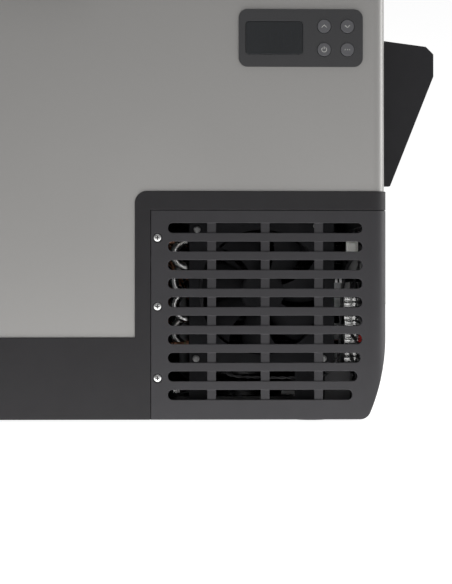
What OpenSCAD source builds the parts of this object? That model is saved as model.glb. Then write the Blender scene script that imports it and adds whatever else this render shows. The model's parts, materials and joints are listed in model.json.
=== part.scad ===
// Compressor cooler fridge: a chest with a foam-insulated liner, a hinged lid, wedge handles at both
// ends and a compressor bay behind a louvred cover. Millimetres, +Z up, front towards -Y.
// Origin: centre of the footprint, on the surface that the rubber feet stand on.

/* [Cabinet] */
// Length of the cabinet without its handles
body_l = 623; // [600:1:660]
// Depth of the cabinet, front to back
body_w = 390; // [380:5:420]
// Height of the lid's top above the ground
total_h = 480; // [470:5:500]
// Radius of the cabinet's vertical corners
corner_r = 15; // [12:1:18]
// Wall thickness of the plastic mouldings
wall = 3; // [2.5:0.5:3.5]
// Height of the base moulding's side band
band_h = 74; // [70:1:80]

/* [Compressor bay] */
// Distance from the cabinet's end to the cover's vertical seam
cover_l = 213.5; // [205:0.5:215]
// Height of the louvred cover above the underside
cover_h = 189; // [185:1:191]
// Number of louvre rows
louvre_rows = 10; // [8:1:10]
// Vertical pitch of the louvres
louvre_pitch = 16.7; // [16:0.1:17]
// Height of one louvre slot
louvre_h = 9; // [7:0.5:10]

/* [Handles] */
// How far a handle stands out of the cabinet's end
handle_out = 50.5; // [48:0.5:56]
// Width of a handle, front to back
handle_w = 250; // [220:5:270]
// Slope of the wedge's outer face from the vertical, in degrees
handle_slope = 21.6; // [20:0.1:24]

/* [Motion clearances] */
// Gap between the closed lid and the top frame
lid_gap = 2; // [1.5:0.5:3]
// Radial clearance of a pin in its bore
pin_fit = 0.05; // [0.03:0.01:0.08]

/* [Hidden] */

$fn = 64;
eps = 0.01;
half_l = body_l / 2;
half_w = body_w / 2;

// Heights
foot_h = 2;
floor_z = foot_h + wall;
band_z = foot_h + band_h;
bay_z = foot_h + 206;
cover_z = foot_h + cover_h;
skin_top_z = total_h - 86;
frame_z = total_h - 68;
foam_top_z = frame_z - 8;
lid_z = frame_z + lid_gap;

// Rounded end of the cabinet near the ground: a large arc that ends in a small one
tuck_z = foot_h + 80;
tuck_r = 188;
toe_r = 10;
tuck_x = half_l - tuck_r;
toe_x = tuck_x + sqrt(pow(tuck_r - toe_r, 2) - pow(tuck_z - foot_h - toe_r, 2));
toe_z = foot_h + toe_r;
join_z = tuck_z - tuck_r * (tuck_z - toe_z) / (tuck_r - toe_r);

// Skin
skin_inset = 1.5;
skin_t = 1;

// Compressor bay, seen from the front
rise_w = 14;
cover_x = half_l - cover_l;
rise_x = cover_x - rise_w;
rise_corner_r = 11;
seam = 0.5;
flange_w = 14;
louvre_x0 = cover_x + 15.8;
louvre_x1 = half_l - 22.5;
louvre_top_z = cover_z - 16.3;
louvre_bars = [-48.3, 0, 48.3];
louvre_bar_w = 8;
louvre_step = 1.2;
cover_screw_x = cover_x + 6.3;
cover_screw_z = [foot_h + 37.5, foot_h + 102, foot_h + 163.8];

// Food compartment
liner_t = 2;
deep_l = 316;
deep_x = -110;
deep_z = 48;
upper_l = 536;
upper_z = bay_z + 32;
cavity_w = 306;
cavity_r = 24;
drain_x = -235;

// Lid, its hinges and its latch
lid_edge_r = 16;
lid_crown = 7;
hinge_y = half_w + 5.5;
hinge_z = frame_z + 1;
hinge_x = [-200, 200];
hinge_screw_dx = 22;
body_leaf_screw_z = frame_z - 13;
lid_leaf_screw_z = lid_z + 16;
knuckle_r = 4.5;
hinge_pin_r = 2;
latch_y = -half_w - 5.8;
latch_z = lid_z + 28;
latch_pin_r = 1.5;
latch_screw_dx = 40;
keeper_screw_dx = 17;
keeper_screw_z = frame_z - 13;

// Control panel on the front, above the compressor bay
panel_l = 112;
panel_h = 52;
panel_x = half_l - 78;
panel_z = frame_z - 66;
display_l = 52;
display_h = 30;
display_x = panel_x - 24;
button_r = 6;
button_pitch = 21;
button_x = panel_x + 21;

// Fan and condenser
fan_x = cover_x + 101.5;
fan_z = foot_h + 115;
shroud_l = 132;
shroud_h = 128;
shroud_y = -half_w + 23;
shroud_screws = [[-59, 57], [-60, -60.5], [56, -60.5], [50, 60.5]];
fan_size = 120;
fan_t = 25;
fan_y = shroud_y + 2;
fin_count = 24;
fin_pitch = 5;
fin_x0 = fan_x - fin_pitch * (fin_count - 1) / 2;
coil_y = [-half_w + 67, -half_w + 87];
coil_z0 = foot_h + 66;
coil_pitch = 24;
coil_rows = 5;
coil_r = 4;
coil_half = 66;

// Compressor
comp_x = cover_x + 92;
comp_y = 40;
comp_z = foot_h + 20;
comp_r = 62;
comp_h = 128;
stub_reach = comp_r + 6;
discharge_port = [comp_x, comp_y - stub_reach, comp_z + 34];
suction_port = [comp_x - 0.6 * stub_reach, comp_y + 0.8 * stub_reach, comp_z + 92];

// Electronics at the end of the bay
shelf_x0 = cover_x + 163.5;
shelf_z = foot_h + 46;
drive_x0 = cover_x + 184;
drive_x1 = half_l - 11;
terminal_y = -half_w + 35;
drier_x = cover_x + 14;
drier_y = 20;

// Faces of the sheet-metal wall beside the bay, towards the bay and towards the foam
liner_face = cover_x - 4.5;
bay_wall_x = liner_face - 1.8;

// Joints that part the foam: at its corners, floor and step, the drain and the panel's pocket
foam_fit = liner_t + 0.1;
foam_joint = 0.1;
foam_far = 500;
foam_left_x = cavity_r - upper_l / 2;
foam_step_x = deep_x + deep_l / 2 - cavity_r;
foam_right_x = upper_l / 2 - cavity_r;
foam_y = cavity_w / 2 - cavity_r;
foam_floor_z = deep_z - foam_fit;
foam_step_z = upper_z - foam_fit;
drain_half = 10;
drain_side = [drain_x - drain_half, drain_x + drain_half];
pocket_x = [panel_x - panel_l / 2 + 3, panel_x + panel_l / 2 - 3];
pocket_y = -half_w + 24;
pocket_z = [panel_z - panel_h / 2 + 3, panel_z + panel_h / 2 - 3];
foam_blocks = [
    // Floor, around the drain
    [[-foam_far, -foam_far, 0], [drain_side[0], foam_far, foam_floor_z]],
    [[drain_side[1], -foam_far, 0], [bay_wall_x, foam_far, foam_floor_z]],
    [[drain_side[0], -foam_far, 0], [drain_side[1], -drain_half, foam_floor_z]],
    [[drain_side[0], drain_half, 0], [drain_side[1], foam_far, foam_floor_z]],
    // Left end, and the front and the back of the deep part
    [[-foam_far, -foam_y, foam_floor_z], [foam_left_x, foam_y, foam_far]],
    [[foam_left_x, -foam_far, foam_floor_z], [foam_step_x, -foam_y, foam_far]],
    [[foam_left_x, foam_y, foam_floor_z], [foam_step_x, foam_far, foam_far]],
    // Step wall, and the ceiling over the compressor bay
    [[foam_step_x, -foam_y, foam_floor_z], [bay_wall_x, foam_y, foam_step_z]],
    [[bay_wall_x, -foam_far, foam_floor_z], [foam_far, foam_far, foam_step_z]],
    // Right end and back of the shallow part
    [[foam_right_x, -foam_y, foam_step_z], [foam_far, foam_y, foam_far]],
    [[foam_step_x, foam_y, foam_step_z], [foam_right_x, foam_far, foam_far]],
    // Front of the shallow part: behind the panel's pocket, then around it
    [[foam_step_x, pocket_y, foam_step_z], [foam_right_x, -foam_y, foam_far]],
    [[foam_step_x, -foam_far, foam_step_z], [pocket_x[0], pocket_y, foam_far]],
    [[pocket_x[1], -foam_far, foam_step_z], [foam_far, pocket_y, foam_far]],
    [[pocket_x[0], -foam_far, foam_step_z], [pocket_x[1], pocket_y, pocket_z[0]]],
    [[pocket_x[0], -foam_far, pocket_z[1]], [pocket_x[1], pocket_y, foam_far]]
];

// Refrigerant lines and wires, as points along their routes
coil_end = fan_x - coil_half;
discharge_route = [discharge_port, discharge_port + [0, -10, 0], [180, -56, 62], [160, -66, 84],
                   [130, -72, 120], [108, -84, 150], [106, -100, 162], [118, coil_y[1], 164],
                   [coil_end - 6, coil_y[1], 164], [coil_end, coil_y[1], 164]];
liquid_route = [[coil_end, coil_y[0], coil_z0], [coil_end - 6, coil_y[0], coil_z0],
                [116, coil_y[0], 67], [108, -118, 60], [106, -90, 50], [108, -40, 42],
                [112, 0, 40], [drier_x, drier_y - 2, 44], [drier_x, drier_y, 53],
                [drier_x, drier_y, 60]];
suction_route = [suction_port, suction_port + [-6, 8, 0], [128, 112, 130], [118, 108, 160],
                 [112, 98, 171], [liner_face + 8, 96, 172], [liner_face, 96, 172]];
capillary_route = [[drier_x, drier_y, 164], [drier_x, drier_y, 174], [108, 32, 183],
                   [104, 60, 180], [liner_face + 5, 72, 176], [liner_face, 72, 176]];
inlet_face = half_l - 20;
wire_routes = [
    [[281, terminal_y - 1.5, 60], [283, -166, 54], [286, -165, 42], [287, -154, 32],
     [288, -120, 30], [288, -50, 30], [288, 20, 32], [287, 56, 44], [283, 62, 90],
     [283, 65, 116], [inlet_face, 65, 118]],
    [[281, terminal_y - 1.5, 80], [286, -169, 71], [291, -168, 52], [292, -156, 36],
     [293, -120, 34], [293, -50, 34], [293, 20, 36], [291, 62, 46], [285, 72, 90],
     [284, 73, 120], [inlet_face, 73, 121]],
    [[281, terminal_y - 1.5, 104], [290, -169, 92], [297, -167, 60], [297, -163, 42],
     [297, -140, 38], [297, -50, 39], [297, 20, 39], [296, 56, 44], [292, 90, 76],
     [284, 118, 108], [284, 122, 119], [inlet_face, 123, 120]],
    [[drive_x0, -58, 70], [276, -58, 70], [262, -48, 72], [257, -20, 80], [256, 9, 82],
     [256, 16, 82]],
    [[165, -158, 57], [165, -160, 49], [172, -164, 41], [200, -165, 39], [235, -165, 39],
     [258, -166, 42], [270, -166, 60], [272, -165, 100], [277, -163, 136], [282, -162, 145],
     [282, -162, 151]],
    [[284, -162, 165], [286, -161, 173], [291, -155, 170], [290, -150, 142], [284, -150, 122],
     [283, -150, 114]]
];

// ---------------------------------------------------------------- shared shapes

function unit(v) = v / norm(v);

function spline_point(p, i, t) =
    let (a = p[max(i - 1, 0)], b = p[i], c = p[i + 1], d = p[min(i + 2, len(p) - 1)])
    0.5 * (2 * b + (c - a) * t + (2 * a - 5 * b + 4 * c - d) * t * t
        + (3 * b - 3 * c + d - a) * t * t * t);

function smooth_route(p, n) = concat(
    [for (i = [0 : len(p) - 2], j = [0 : n - 1]) spline_point(p, i, j / n)], [p[len(p) - 1]]);

// A round tube along a route of points
module swept_tube(route, r, sides = 10, steps = 4) {
    path = smooth_route(route, steps);
    last = len(path) - 1;
    up = unit([0.31, 0.17, 0.93]);
    points = [
        for (i = [0 : last])
            let (along = unit(path[min(i + 1, last)] - path[max(i - 1, 0)]),
                 u = unit(cross(along, up)),
                 v = cross(along, u))
            for (s = [0 : sides - 1])
                path[i] + r * (u * cos(360 * s / sides) + v * sin(360 * s / sides))
    ];
    ring_faces = [
        for (i = [0 : last - 1], s = [0 : sides - 1])
            let (a = i * sides + s, b = i * sides + (s + 1) % sides)
            each [[a, b + sides, b], [a, a + sides, b + sides]]
    ];
    cap_a = [[for (s = [0 : sides - 1]) s]];
    cap_b = [[for (s = [sides - 1 : -1 : 0]) last * sides + s]];
    polyhedron(points = points, faces = concat(ring_faces, cap_a, cap_b));
}

// Rounded rectangle, centred
module rounded_2d(l, w, r) {
    square([l - 2 * r, w], center = true);
    square([l, w - 2 * r], center = true);
    for (x = [-1, 1], y = [-1, 1])
        translate([x * (l / 2 - r), y * (w / 2 - r)]) circle(r);
}

module rounded_prism(l, w, r, z0, z1) {
    translate([0, 0, z0]) linear_extrude(z1 - z0) rounded_2d(l, w, r);
}

// Box given by its two corners
module span(a, b) {
    translate(a) cube(b - a);
}

// Extrudes an outline drawn in X and Z along Y, from y0 to y1
module along_y(y0, y1) {
    translate([0, y1, 0]) rotate([90, 0, 0]) linear_extrude(y1 - y0) children();
}

// Extrudes an outline drawn in Y and Z along X, from x0 to x1
module along_x(x0, x1) {
    translate([x0, 0, 0]) rotate([90, 0, 90]) linear_extrude(x1 - x0) children();
}

module cylinder_y(r, y0, y1) {
    translate([0, y1, 0]) rotate([90, 0, 0]) cylinder(r = r, h = y1 - y0);
}

module cylinder_x(r, x0, x1) {
    translate([x0, 0, 0]) rotate([0, 90, 0]) cylinder(r = r, h = x1 - x0);
}

// Cabinet's side outline in X and Z, inset by t
module side_outline(t, top) {
    translate([-toe_x, foot_h + t]) square([2 * toe_x, top - foot_h - t]);
    for (side = [-1, 1]) {
        translate([side * toe_x, toe_z]) circle(toe_r - t);
        intersection() {
            translate([side * tuck_x, tuck_z]) circle(tuck_r - t, $fn = 200);
            translate([side > 0 ? toe_x - 1 : -half_l, join_z])
                square([half_l - toe_x + 1, tuck_z - join_z]);
        }
    }
    translate([-half_l + t, tuck_z]) square([body_l - 2 * t, top - tuck_z]);
}

// Solid of the whole cabinet, inset by t
module envelope(t, z0, z1) {
    intersection() {
        rounded_prism(body_l - 2 * t, body_w - 2 * t, corner_r - t, z0, z1);
        along_y(-half_w - 1, half_w + 1) side_outline(t, z1 + 1);
    }
}

// Cabinet wall between two insets
module envelope_wall(t0, t1, z0, z1) {
    difference() {
        envelope(t0, z0, z1);
        envelope(t1, z0 - 1, z1 + 1);
    }
}

// Pan-head screw, head upwards, its underside at z = 0
module pan_screw(head_r, head_h, shank_r, length) {
    slot = head_r * 0.32;
    difference() {
        union() {
            intersection() {
                cylinder(r = head_r, h = head_h);
                translate([0, 0, head_h - 2.2 * head_r]) sphere(2.2 * head_r);
            }
            translate([0, 0, -length]) cylinder(r = shank_r, h = length + eps);
        }
        for (a = [0, 90])
            rotate([0, 0, a])
                translate([-head_r * 0.6, -slot / 2, head_h * 0.45])
                    cube([head_r * 1.2, slot, head_h]);
    }
}

// ---------------------------------------------------------------- base and cabinet

// Raised surround of the compressor bay, in X and Z
module bay_surround_2d() {
    difference() {
        union() {
            translate([rise_x + rise_corner_r, foot_h])
                square([half_l - rise_x - rise_corner_r, bay_z - foot_h]);
            translate([rise_x, foot_h])
                square([rise_corner_r + 1, bay_z - foot_h - rise_corner_r]);
            translate([rise_x + rise_corner_r, bay_z - rise_corner_r]) circle(rise_corner_r);
        }
        translate([cover_x, 0]) square([cover_l + 1, cover_z]);
    }
}

module base_tray() {
    color([0.2, 0.2, 0.21]) difference() {
        union() {
            intersection() {
                envelope_wall(0, wall, foot_h, bay_z);
                along_y(-half_w - 1, half_w + 1) union() {
                    translate([-half_l - 1, foot_h]) square([half_l + 1 + cover_x, band_h]);
                    bay_surround_2d();
                }
            }
            span([cover_x - 1, -half_w + wall + 0.3, foot_h], [toe_x - 0.3, half_w - wall - 0.3, floor_z]);
            intersection() {
                envelope_wall(wall, 2 * wall, floor_z - eps, bay_z - 12);
                union() {
                    for (side = [-1, 1])
                        span([cover_x - wall, side * half_w - 20, floor_z - eps],
                             [cover_x + flange_w, side * half_w + 20, bay_z - 12]);
                    span([cover_x - wall, -half_w, cover_z - 10], [half_l, half_w, bay_z - 12]);
                }
            }
        }
        foot_places() cylinder(r = 15.2, h = 1);
        translate([drain_x, 0, 0]) cylinder(r = 10.2, h = floor_z + 1);
        cover_screw_places() translate([0, 0, -14]) cylinder(r = 1.5, h = 16);
    }
}

module foot_places() {
    for (x = [-245, 245], y = [-150, 150]) translate([x, y, foot_h]) children();
}

// Outside of each cover screw's seat, with +Z pointing out of the cabinet
module cover_screw_places() {
    for (side = [-1, 1], z = cover_screw_z)
        translate([cover_screw_x, side * (half_w - louvre_step), z])
            rotate([side > 0 ? -90 : 90, 0, 0]) children();
}

module rubber_feet() {
    color([0.1, 0.1, 0.1]) foot_places() translate([0, 0, -foot_h]) cylinder(r = 15, h = foot_h + 1);
}

module outer_skin() {
    color([0.6, 0.59, 0.58]) difference() {
        rounded_prism(body_l - 2 * skin_inset, body_w - 2 * skin_inset, corner_r - skin_inset,
                      band_z, skin_top_z);
        rounded_prism(body_l - 2 * (skin_inset + skin_t), body_w - 2 * (skin_inset + skin_t),
                      corner_r - skin_inset - skin_t, band_z - 1, skin_top_z + 1);
        along_y(-half_w, half_w) {
            translate([rise_x + rise_corner_r, 0]) square([cover_l + rise_w, bay_z]);
            translate([rise_x, 0]) square([rise_corner_r + 1, bay_z - rise_corner_r]);
            translate([rise_x + rise_corner_r, bay_z - rise_corner_r]) circle(rise_corner_r);
        }
        along_y(-half_w, -half_w + 20) translate([panel_x, panel_z])
            rounded_2d(panel_l - 4, panel_h - 4, 6);
        for (side = [-1, 1]) handle_place(side) handle_screw_places()
            translate([0, 0, -20]) cylinder(r = 2.6, h = 20);
    }
}

// Half length of the cabinet at the height z
function end_x(z) = z > tuck_z ? half_l : tuck_x + sqrt(tuck_r * tuck_r - pow(tuck_z - z, 2));

// One louvre row from end to end; its right end follows the tucked end of the cabinet
module louvre_row_2d(z, x0) {
    right = louvre_x1 - (half_l - end_x(z));
    r = louvre_h / 2 - 0.3;
    translate([(x0 + right) / 2, z]) rounded_2d(right - x0, louvre_h, r);
}

// Rows first to last, starting at x0
module louvres_2d(first, last, x0) {
    for (i = [first : last]) louvre_row_2d(louvre_top_z - i * louvre_pitch, x0);
}

// Air inlet over the whole front, and the smaller outlet at the back, behind the compressor
module front_louvres_2d() {
    louvres_2d(0, louvre_rows - 1, louvre_x0);
}

module back_louvres_2d() {
    louvres_2d(2, louvre_rows - 3, louvre_x0 + 46);
}

module louvre_bars_2d() {
    for (x = louvre_bars)
        translate([(louvre_x0 + louvre_x1) / 2 + x - louvre_bar_w / 2, foot_h])
            square([louvre_bar_w, cover_h]);
}

module compressor_cover() {
    color([0.24, 0.24, 0.25]) difference() {
        intersection() {
            envelope_wall(0, wall, foot_h, cover_z - seam);
            span([cover_x + seam, -half_w, 0], [half_l, half_w, cover_z]);
        }
        span([cover_x, -half_w + wall, 0], [toe_x, half_w - wall, floor_z + eps]);
        along_y(-half_w - 1, 0) difference() {
            front_louvres_2d();
            louvre_bars_2d();
        }
        along_y(0, half_w + 1) difference() {
            back_louvres_2d();
            louvre_bars_2d();
        }
        along_y(-half_w - 1, -half_w + louvre_step) front_louvres_2d();
        along_y(half_w - louvre_step, half_w + 1) back_louvres_2d();
        cover_screw_places() {
            cylinder(r = 4.2, h = 4);
            translate([0, 0, -8]) cylinder(r = 1.7, h = 10);
        }
        inlet_place() translate([0, 0, -4]) linear_extrude(8) inlet_opening_2d();
    }
}

module cover_screws() {
    color([0.8, 0.8, 0.8]) cover_screw_places() pan_screw(3.3, 1.9, 1.45, 11);
}

// Centre of the power inlets on the cover's end wall, with +Z out of the cabinet and +X up
module inlet_place() {
    translate([half_l, 96, foot_h + 118]) rotate([0, 90, 0]) rotate([0, 0, 180]) children();
}

module inlet_opening_2d() {
    translate([0, 27]) rounded_2d(22, 32, 3);
    translate([0, -27]) rounded_2d(22, 32, 3);
}

// Sheet-metal wall and ceiling between the bay and the foam
module bay_liner() {
    color([0.7, 0.7, 0.72]) {
        span([liner_face - 1.5, -half_w + wall + 0.3, floor_z],
             [liner_face, half_w - wall - 0.3, bay_z - 4.5]);
        intersection() {
            envelope(wall + 0.3, bay_z - 6, bay_z - 4.5);
            span([liner_face - 1.5, -half_w, 0], [half_l, half_w, total_h]);
        }
    }
}

// Food compartment grown by t, up to z_top
module cavity(t, z_top) {
    rounded_prism(upper_l + 2 * t, cavity_w + 2 * t, cavity_r + t, upper_z - t, z_top);
    translate([deep_x, 0, 0])
        rounded_prism(deep_l + 2 * t, cavity_w + 2 * t, cavity_r + t, deep_z - t, upper_z + 1);
}

module evaporator_ring(t0, t1, z0, z1) {
    translate([deep_x, 0, 0]) difference() {
        rounded_prism(deep_l + 2 * t1, cavity_w + 2 * t1, cavity_r + t1, z0, z1);
        rounded_prism(deep_l + 2 * t0, cavity_w + 2 * t0, cavity_r + t0, z0 - 1, z1 + 1);
    }
}

// Foam as one body, before it is parted
module foam_body() {
    difference() {
        envelope(wall + 0.3, floor_z, foam_top_z);
        span([bay_wall_x, -half_w, 0], [half_l, half_w, bay_z - 4.2]);
        cavity(foam_fit, total_h);
        evaporator_ring(liner_t, liner_t + 2, 60, 230);
        rounded_prism(upper_l + 28, cavity_w + 28, cavity_r + 14, foam_top_z - 2, total_h);
        for (side = [-1, 1]) handle_place(side) handle_screw_places()
            translate([0, 0, -20]) cylinder(r = 2.6, h = 20);
        hinge_screw_places(body_leaf_screw_z) translate([0, 0, -20]) cylinder(r = 1.6, h = 20);
        keeper_screw_places() translate([0, 0, -20]) cylinder(r = 1.6, h = 20);
    }
}

// Box between two corners, half a joint in from them
module foam_block(a, b) {
    gap = foam_joint / 2 * [1, 1, 1];
    span(a + gap, b - gap);
}

// Three wedges around an upright corner of the cavity, from the corner's centre to a far point
module foam_corner(centre, far, z0, z1) {
    turn = [sign(far[0] - centre[0]), sign(far[1] - centre[1])];
    intersection() {
        foam_block([min(centre[0], far[0]), min(centre[1], far[1]), z0],
                   [max(centre[0], far[0]), max(centre[1], far[1]), z1]);
        translate([centre[0], centre[1], z0]) scale([turn[0], turn[1], 1])
            for (a = [0, 30, 60])
                translate(2 * foam_joint * [cos(a + 15), sin(a + 15)])
                    linear_extrude(z1 - z0) polygon([[0, 0], foam_far * [cos(a), sin(a)],
                                                     foam_far * [cos(a + 30), sin(a + 30)]]);
    }
}

// Foam, parted by thin straight joints so that every block is all but convex
module foam_insulation() {
    color([0.93, 0.88, 0.7]) intersection() {
        foam_body();
        union() {
            for (block = foam_blocks) foam_block(block[0], block[1]);
            for (side = [-1, 1]) {
                foam_corner([foam_left_x, side * foam_y], [-foam_far, side * foam_far],
                            foam_floor_z, foam_far);
                foam_corner([foam_step_x, side * foam_y], [bay_wall_x, side * foam_far],
                            foam_floor_z, foam_step_z);
            }
            foam_corner([foam_right_x, foam_y], [foam_far, foam_far], foam_step_z, foam_far);
            foam_corner([foam_right_x, -foam_y], [foam_far, pocket_y], foam_step_z, foam_far);
        }
    }
}

module inner_liner() {
    color([0.86, 0.87, 0.88]) difference() {
        union() {
            cavity(liner_t, foam_top_z - 1);
            rounded_prism(upper_l + 26, cavity_w + 26, cavity_r + 13, foam_top_z - 2, foam_top_z);
        }
        cavity(0, total_h);
        translate([drain_x, 0, 0]) cylinder(r = 9.2, h = 60);
    }
}

module evaporator_plate() {
    color([0.78, 0.79, 0.8]) {
        evaporator_ring(liner_t + 0.2, liner_t + 1.8, 62, 228);
    }
}

module drain_tube() {
    color([0.85, 0.85, 0.85]) translate([drain_x, 0, 0]) difference() {
        translate([0, 0, foot_h]) cylinder(r = 9, h = deep_z - foot_h);
        cylinder(r = 7, h = deep_z + 1);
    }
}

module drain_plug() {
    color([0.25, 0.25, 0.26]) translate([drain_x, 0, 0]) {
        translate([0, 0, deep_z + 0.2]) cylinder(r = 12, h = 4);
        translate([0, 0, deep_z - 22]) cylinder(r = 6.7, h = 23);
    }
}

module top_frame() {
    color([0.22, 0.22, 0.23]) difference() {
        rounded_prism(body_l, body_w, corner_r, skin_top_z - 8, frame_z);
        rounded_prism(body_l - 2.4, body_w - 2.4, corner_r - 1.2, skin_top_z - 9, skin_top_z + 0.2);
        rounded_prism(body_l - 2 * wall, body_w - 2 * wall, corner_r - wall,
                      skin_top_z, foam_top_z + 0.2);
        rounded_prism(upper_l, cavity_w, cavity_r, skin_top_z - 9, total_h);
        difference() {
            rounded_prism(upper_l + 44, cavity_w + 44, cavity_r + 18, frame_z - 3, total_h);
            rounded_prism(upper_l + 16, cavity_w + 16, cavity_r + 8, 0, total_h);
        }
        hinge_screw_places(body_leaf_screw_z) translate([0, 0, -20]) cylinder(r = 1.6, h = 20);
        keeper_screw_places() translate([0, 0, -20]) cylinder(r = 1.6, h = 20);
    }
}

// ---------------------------------------------------------------- handles

module handle_place(side) {
    translate([side * (half_l - skin_inset), 0, 0]) mirror([side > 0 ? 0 : 1, 0, 0]) children();
}

handle_z0 = foot_h + 213.5;
handle_z1 = foot_h + 343.5;
handle_foot = 11.5;
handle_cheek = 13;
grip_h = 28;
grip_t = 20;
handle_reach = handle_out + skin_inset;

// Handle cheek in X and Z: flat toe, sloping outer face, vertical grip end
module cheek_2d() {
    slope_z = handle_z0 + (handle_reach - handle_foot) / tan(handle_slope);
    polygon([[0, handle_z0], [handle_foot, handle_z0], [handle_reach, slope_z],
             [handle_reach, handle_z1 - 7], [handle_reach - 7, handle_z1], [0, handle_z1 + 6]]);
}

module handle(side) {
    color([0.15, 0.15, 0.17]) handle_place(side) difference() {
        union() {
            for (s = [-1, 1])
                translate([0, s * (handle_w - handle_cheek) / 2, 0])
                    along_y(-handle_cheek / 2, handle_cheek / 2) cheek_2d();
            span([0, -handle_w / 2, handle_z0], [4, handle_w / 2, handle_z1 + 6]);
            along_y(-handle_w / 2 + handle_cheek - 1, handle_w / 2 - handle_cheek + 1)
                translate([handle_reach - grip_t / 2 - 1.5, handle_z1 - grip_h / 2 - 1.5])
                    rounded_2d(grip_t - 3, grip_h - 3, 7);
        }
        handle_screw_places() translate([0, 0, -5]) cylinder(r = 2.6, h = 10);
    }
}

// Screw seats on the handle's back plate, with +Z out of the cabinet
module handle_screw_places() {
    for (y = [-85, 85], z = [handle_z0 + 22, handle_z0 + 92])
        translate([4, y, z]) rotate([0, 90, 0]) children();
}

// Soft sleeve around each handle's bar
module handle_grips() {
    color([0.1, 0.1, 0.11]) for (side = [-1, 1]) handle_place(side)
        along_y(-handle_w / 2 + handle_cheek + 6, handle_w / 2 - handle_cheek - 6)
            translate([handle_reach - grip_t / 2 - 1.5, handle_z1 - grip_h / 2 - 1.5])
                difference() {
                    rounded_2d(grip_t, grip_h, 8.5);
                    rounded_2d(grip_t - 2.9, grip_h - 2.9, 7.05);
                }
}

module handle_screws() {
    color([0.75, 0.75, 0.76]) for (side = [-1, 1]) handle_place(side)
        handle_screw_places() pan_screw(5, 3, 2.5, 18);
}

// ---------------------------------------------------------------- lid

// Lid outline across a length l, inset by t: rounded edges below a slightly crowned top
module lid_outline_2d(l, t) {
    reach = l / 2 - lid_edge_r;
    r = lid_edge_r - t;
    crown_r = (reach * reach + lid_crown * lid_crown) / (2 * lid_crown);
    edge_z = total_h - lid_crown - lid_edge_r + 0.2;
    intersection() {
        union() {
            translate([-reach - r, lid_z - 1]) square([2 * (reach + r), edge_z - lid_z + 1]);
            translate([-reach, lid_z - 1]) square([2 * reach, total_h - lid_z + 1]);
            for (side = [-1, 1]) translate([side * reach, edge_z]) circle(r);
        }
        translate([0, total_h - crown_r]) circle(crown_r - t, $fn = 1500);
    }
}

module lid_solid(t, z0) {
    l = body_l - 2 * t;
    w = body_w - 2 * t;
    intersection() {
        rounded_prism(l, w, corner_r - t, z0, total_h);
        along_y(-half_w, half_w) lid_outline_2d(body_l, t);
        along_x(-half_l, half_l) lid_outline_2d(body_w, t);
    }
}

module lid_outer() {
    color([0.22, 0.22, 0.23]) difference() {
        lid_solid(0, lid_z);
        lid_solid(wall, lid_z - 1);
        lid_screw_holes(1.6);
    }
}

module lid_foam() {
    color([0.93, 0.88, 0.7]) difference() {
        lid_solid(wall + 0.3, lid_z + 2.2);
        lid_screw_holes(1.6);
    }
}

module lid_inner() {
    color([0.86, 0.87, 0.88]) difference() {
        union() {
            rounded_prism(body_l - 2 * wall - 1, body_w - 2 * wall - 1, corner_r - wall - 0.5,
                          lid_z, lid_z + 2);
            rounded_prism(upper_l - 10, cavity_w - 10, cavity_r - 5, lid_z - 11, lid_z + 1);
        }
        rounded_prism(upper_l - 14, cavity_w - 14, cavity_r - 7, lid_z - 9, lid_z + 3);
    }
}

module lid_gasket() {
    color([0.12, 0.12, 0.12]) difference() {
        rounded_prism(upper_l + 40, cavity_w + 40, cavity_r + 16, frame_z - 2.7, lid_z);
        rounded_prism(upper_l + 20, cavity_w + 20, cavity_r + 10, 0, total_h);
    }
}

// Screw seats on the hinge leaves at the height z, with +Z towards the back
module hinge_screw_places(z) {
    for (x = hinge_x, dx = [-hinge_screw_dx, hinge_screw_dx])
        translate([x + dx, half_w + 2, z]) rotate([-90, 0, 0]) children();
}

// Screw seats on the keeper and on the latch's base, with +Z towards the front
module keeper_screw_places() {
    for (dx = [-keeper_screw_dx, keeper_screw_dx])
        translate([dx, -half_w - 2, keeper_screw_z]) rotate([90, 0, 0]) children();
}

module latch_screw_places() {
    for (dx = [-latch_screw_dx, latch_screw_dx])
        translate([dx, -half_w - 2, latch_z + 13]) rotate([90, 0, 0]) children();
}

module lid_screw_holes(r) {
    hinge_screw_places(lid_leaf_screw_z) translate([0, 0, -20]) cylinder(r = r, h = 20);
    latch_screw_places() translate([0, 0, -20]) cylinder(r = r, h = 20);
}

// Knuckle with its web to a leaf; dir is -1 for the body's leaf and 1 for the lid's
module knuckle(x0, x1, dir) {
    difference() {
        union() {
            translate([0, hinge_y, hinge_z]) cylinder_x(knuckle_r, x0, x1);
            span([x0, half_w, dir > 0 ? hinge_z : hinge_z - 5.5],
                 [x1, hinge_y - 1, dir > 0 ? hinge_z + 5.5 : hinge_z]);
        }
        translate([0, hinge_y, hinge_z]) cylinder_x(hinge_pin_r + pin_fit, x0 - 1, x1 + 1);
    }
}

module hinge_body_leaves() {
    color([0.3, 0.3, 0.31]) difference() {
        for (x = hinge_x) {
            knuckle(x - 11.8, x + 11.8, -1);
            span([x - 30, half_w, hinge_z - 25], [x + 30, half_w + 2, hinge_z - 5]);
        }
        hinge_screw_places(body_leaf_screw_z) translate([0, 0, -4]) cylinder(r = 1.7, h = 8);
    }
}

module hinge_lid_leaves() {
    color([0.3, 0.3, 0.31]) difference() {
        for (x = hinge_x) {
            knuckle(x - 30, x - 12.2, 1);
            knuckle(x + 12.2, x + 30, 1);
            span([x - 30, half_w, hinge_z + 5], [x + 30, half_w + 2, hinge_z + 27]);
        }
        hinge_screw_places(lid_leaf_screw_z) translate([0, 0, -4]) cylinder(r = 1.7, h = 8);
    }
}

module hinge_pins() {
    color([0.75, 0.75, 0.76]) for (x = hinge_x)
        translate([0, hinge_y, hinge_z]) cylinder_x(hinge_pin_r, x - 31, x + 31);
}

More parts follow.
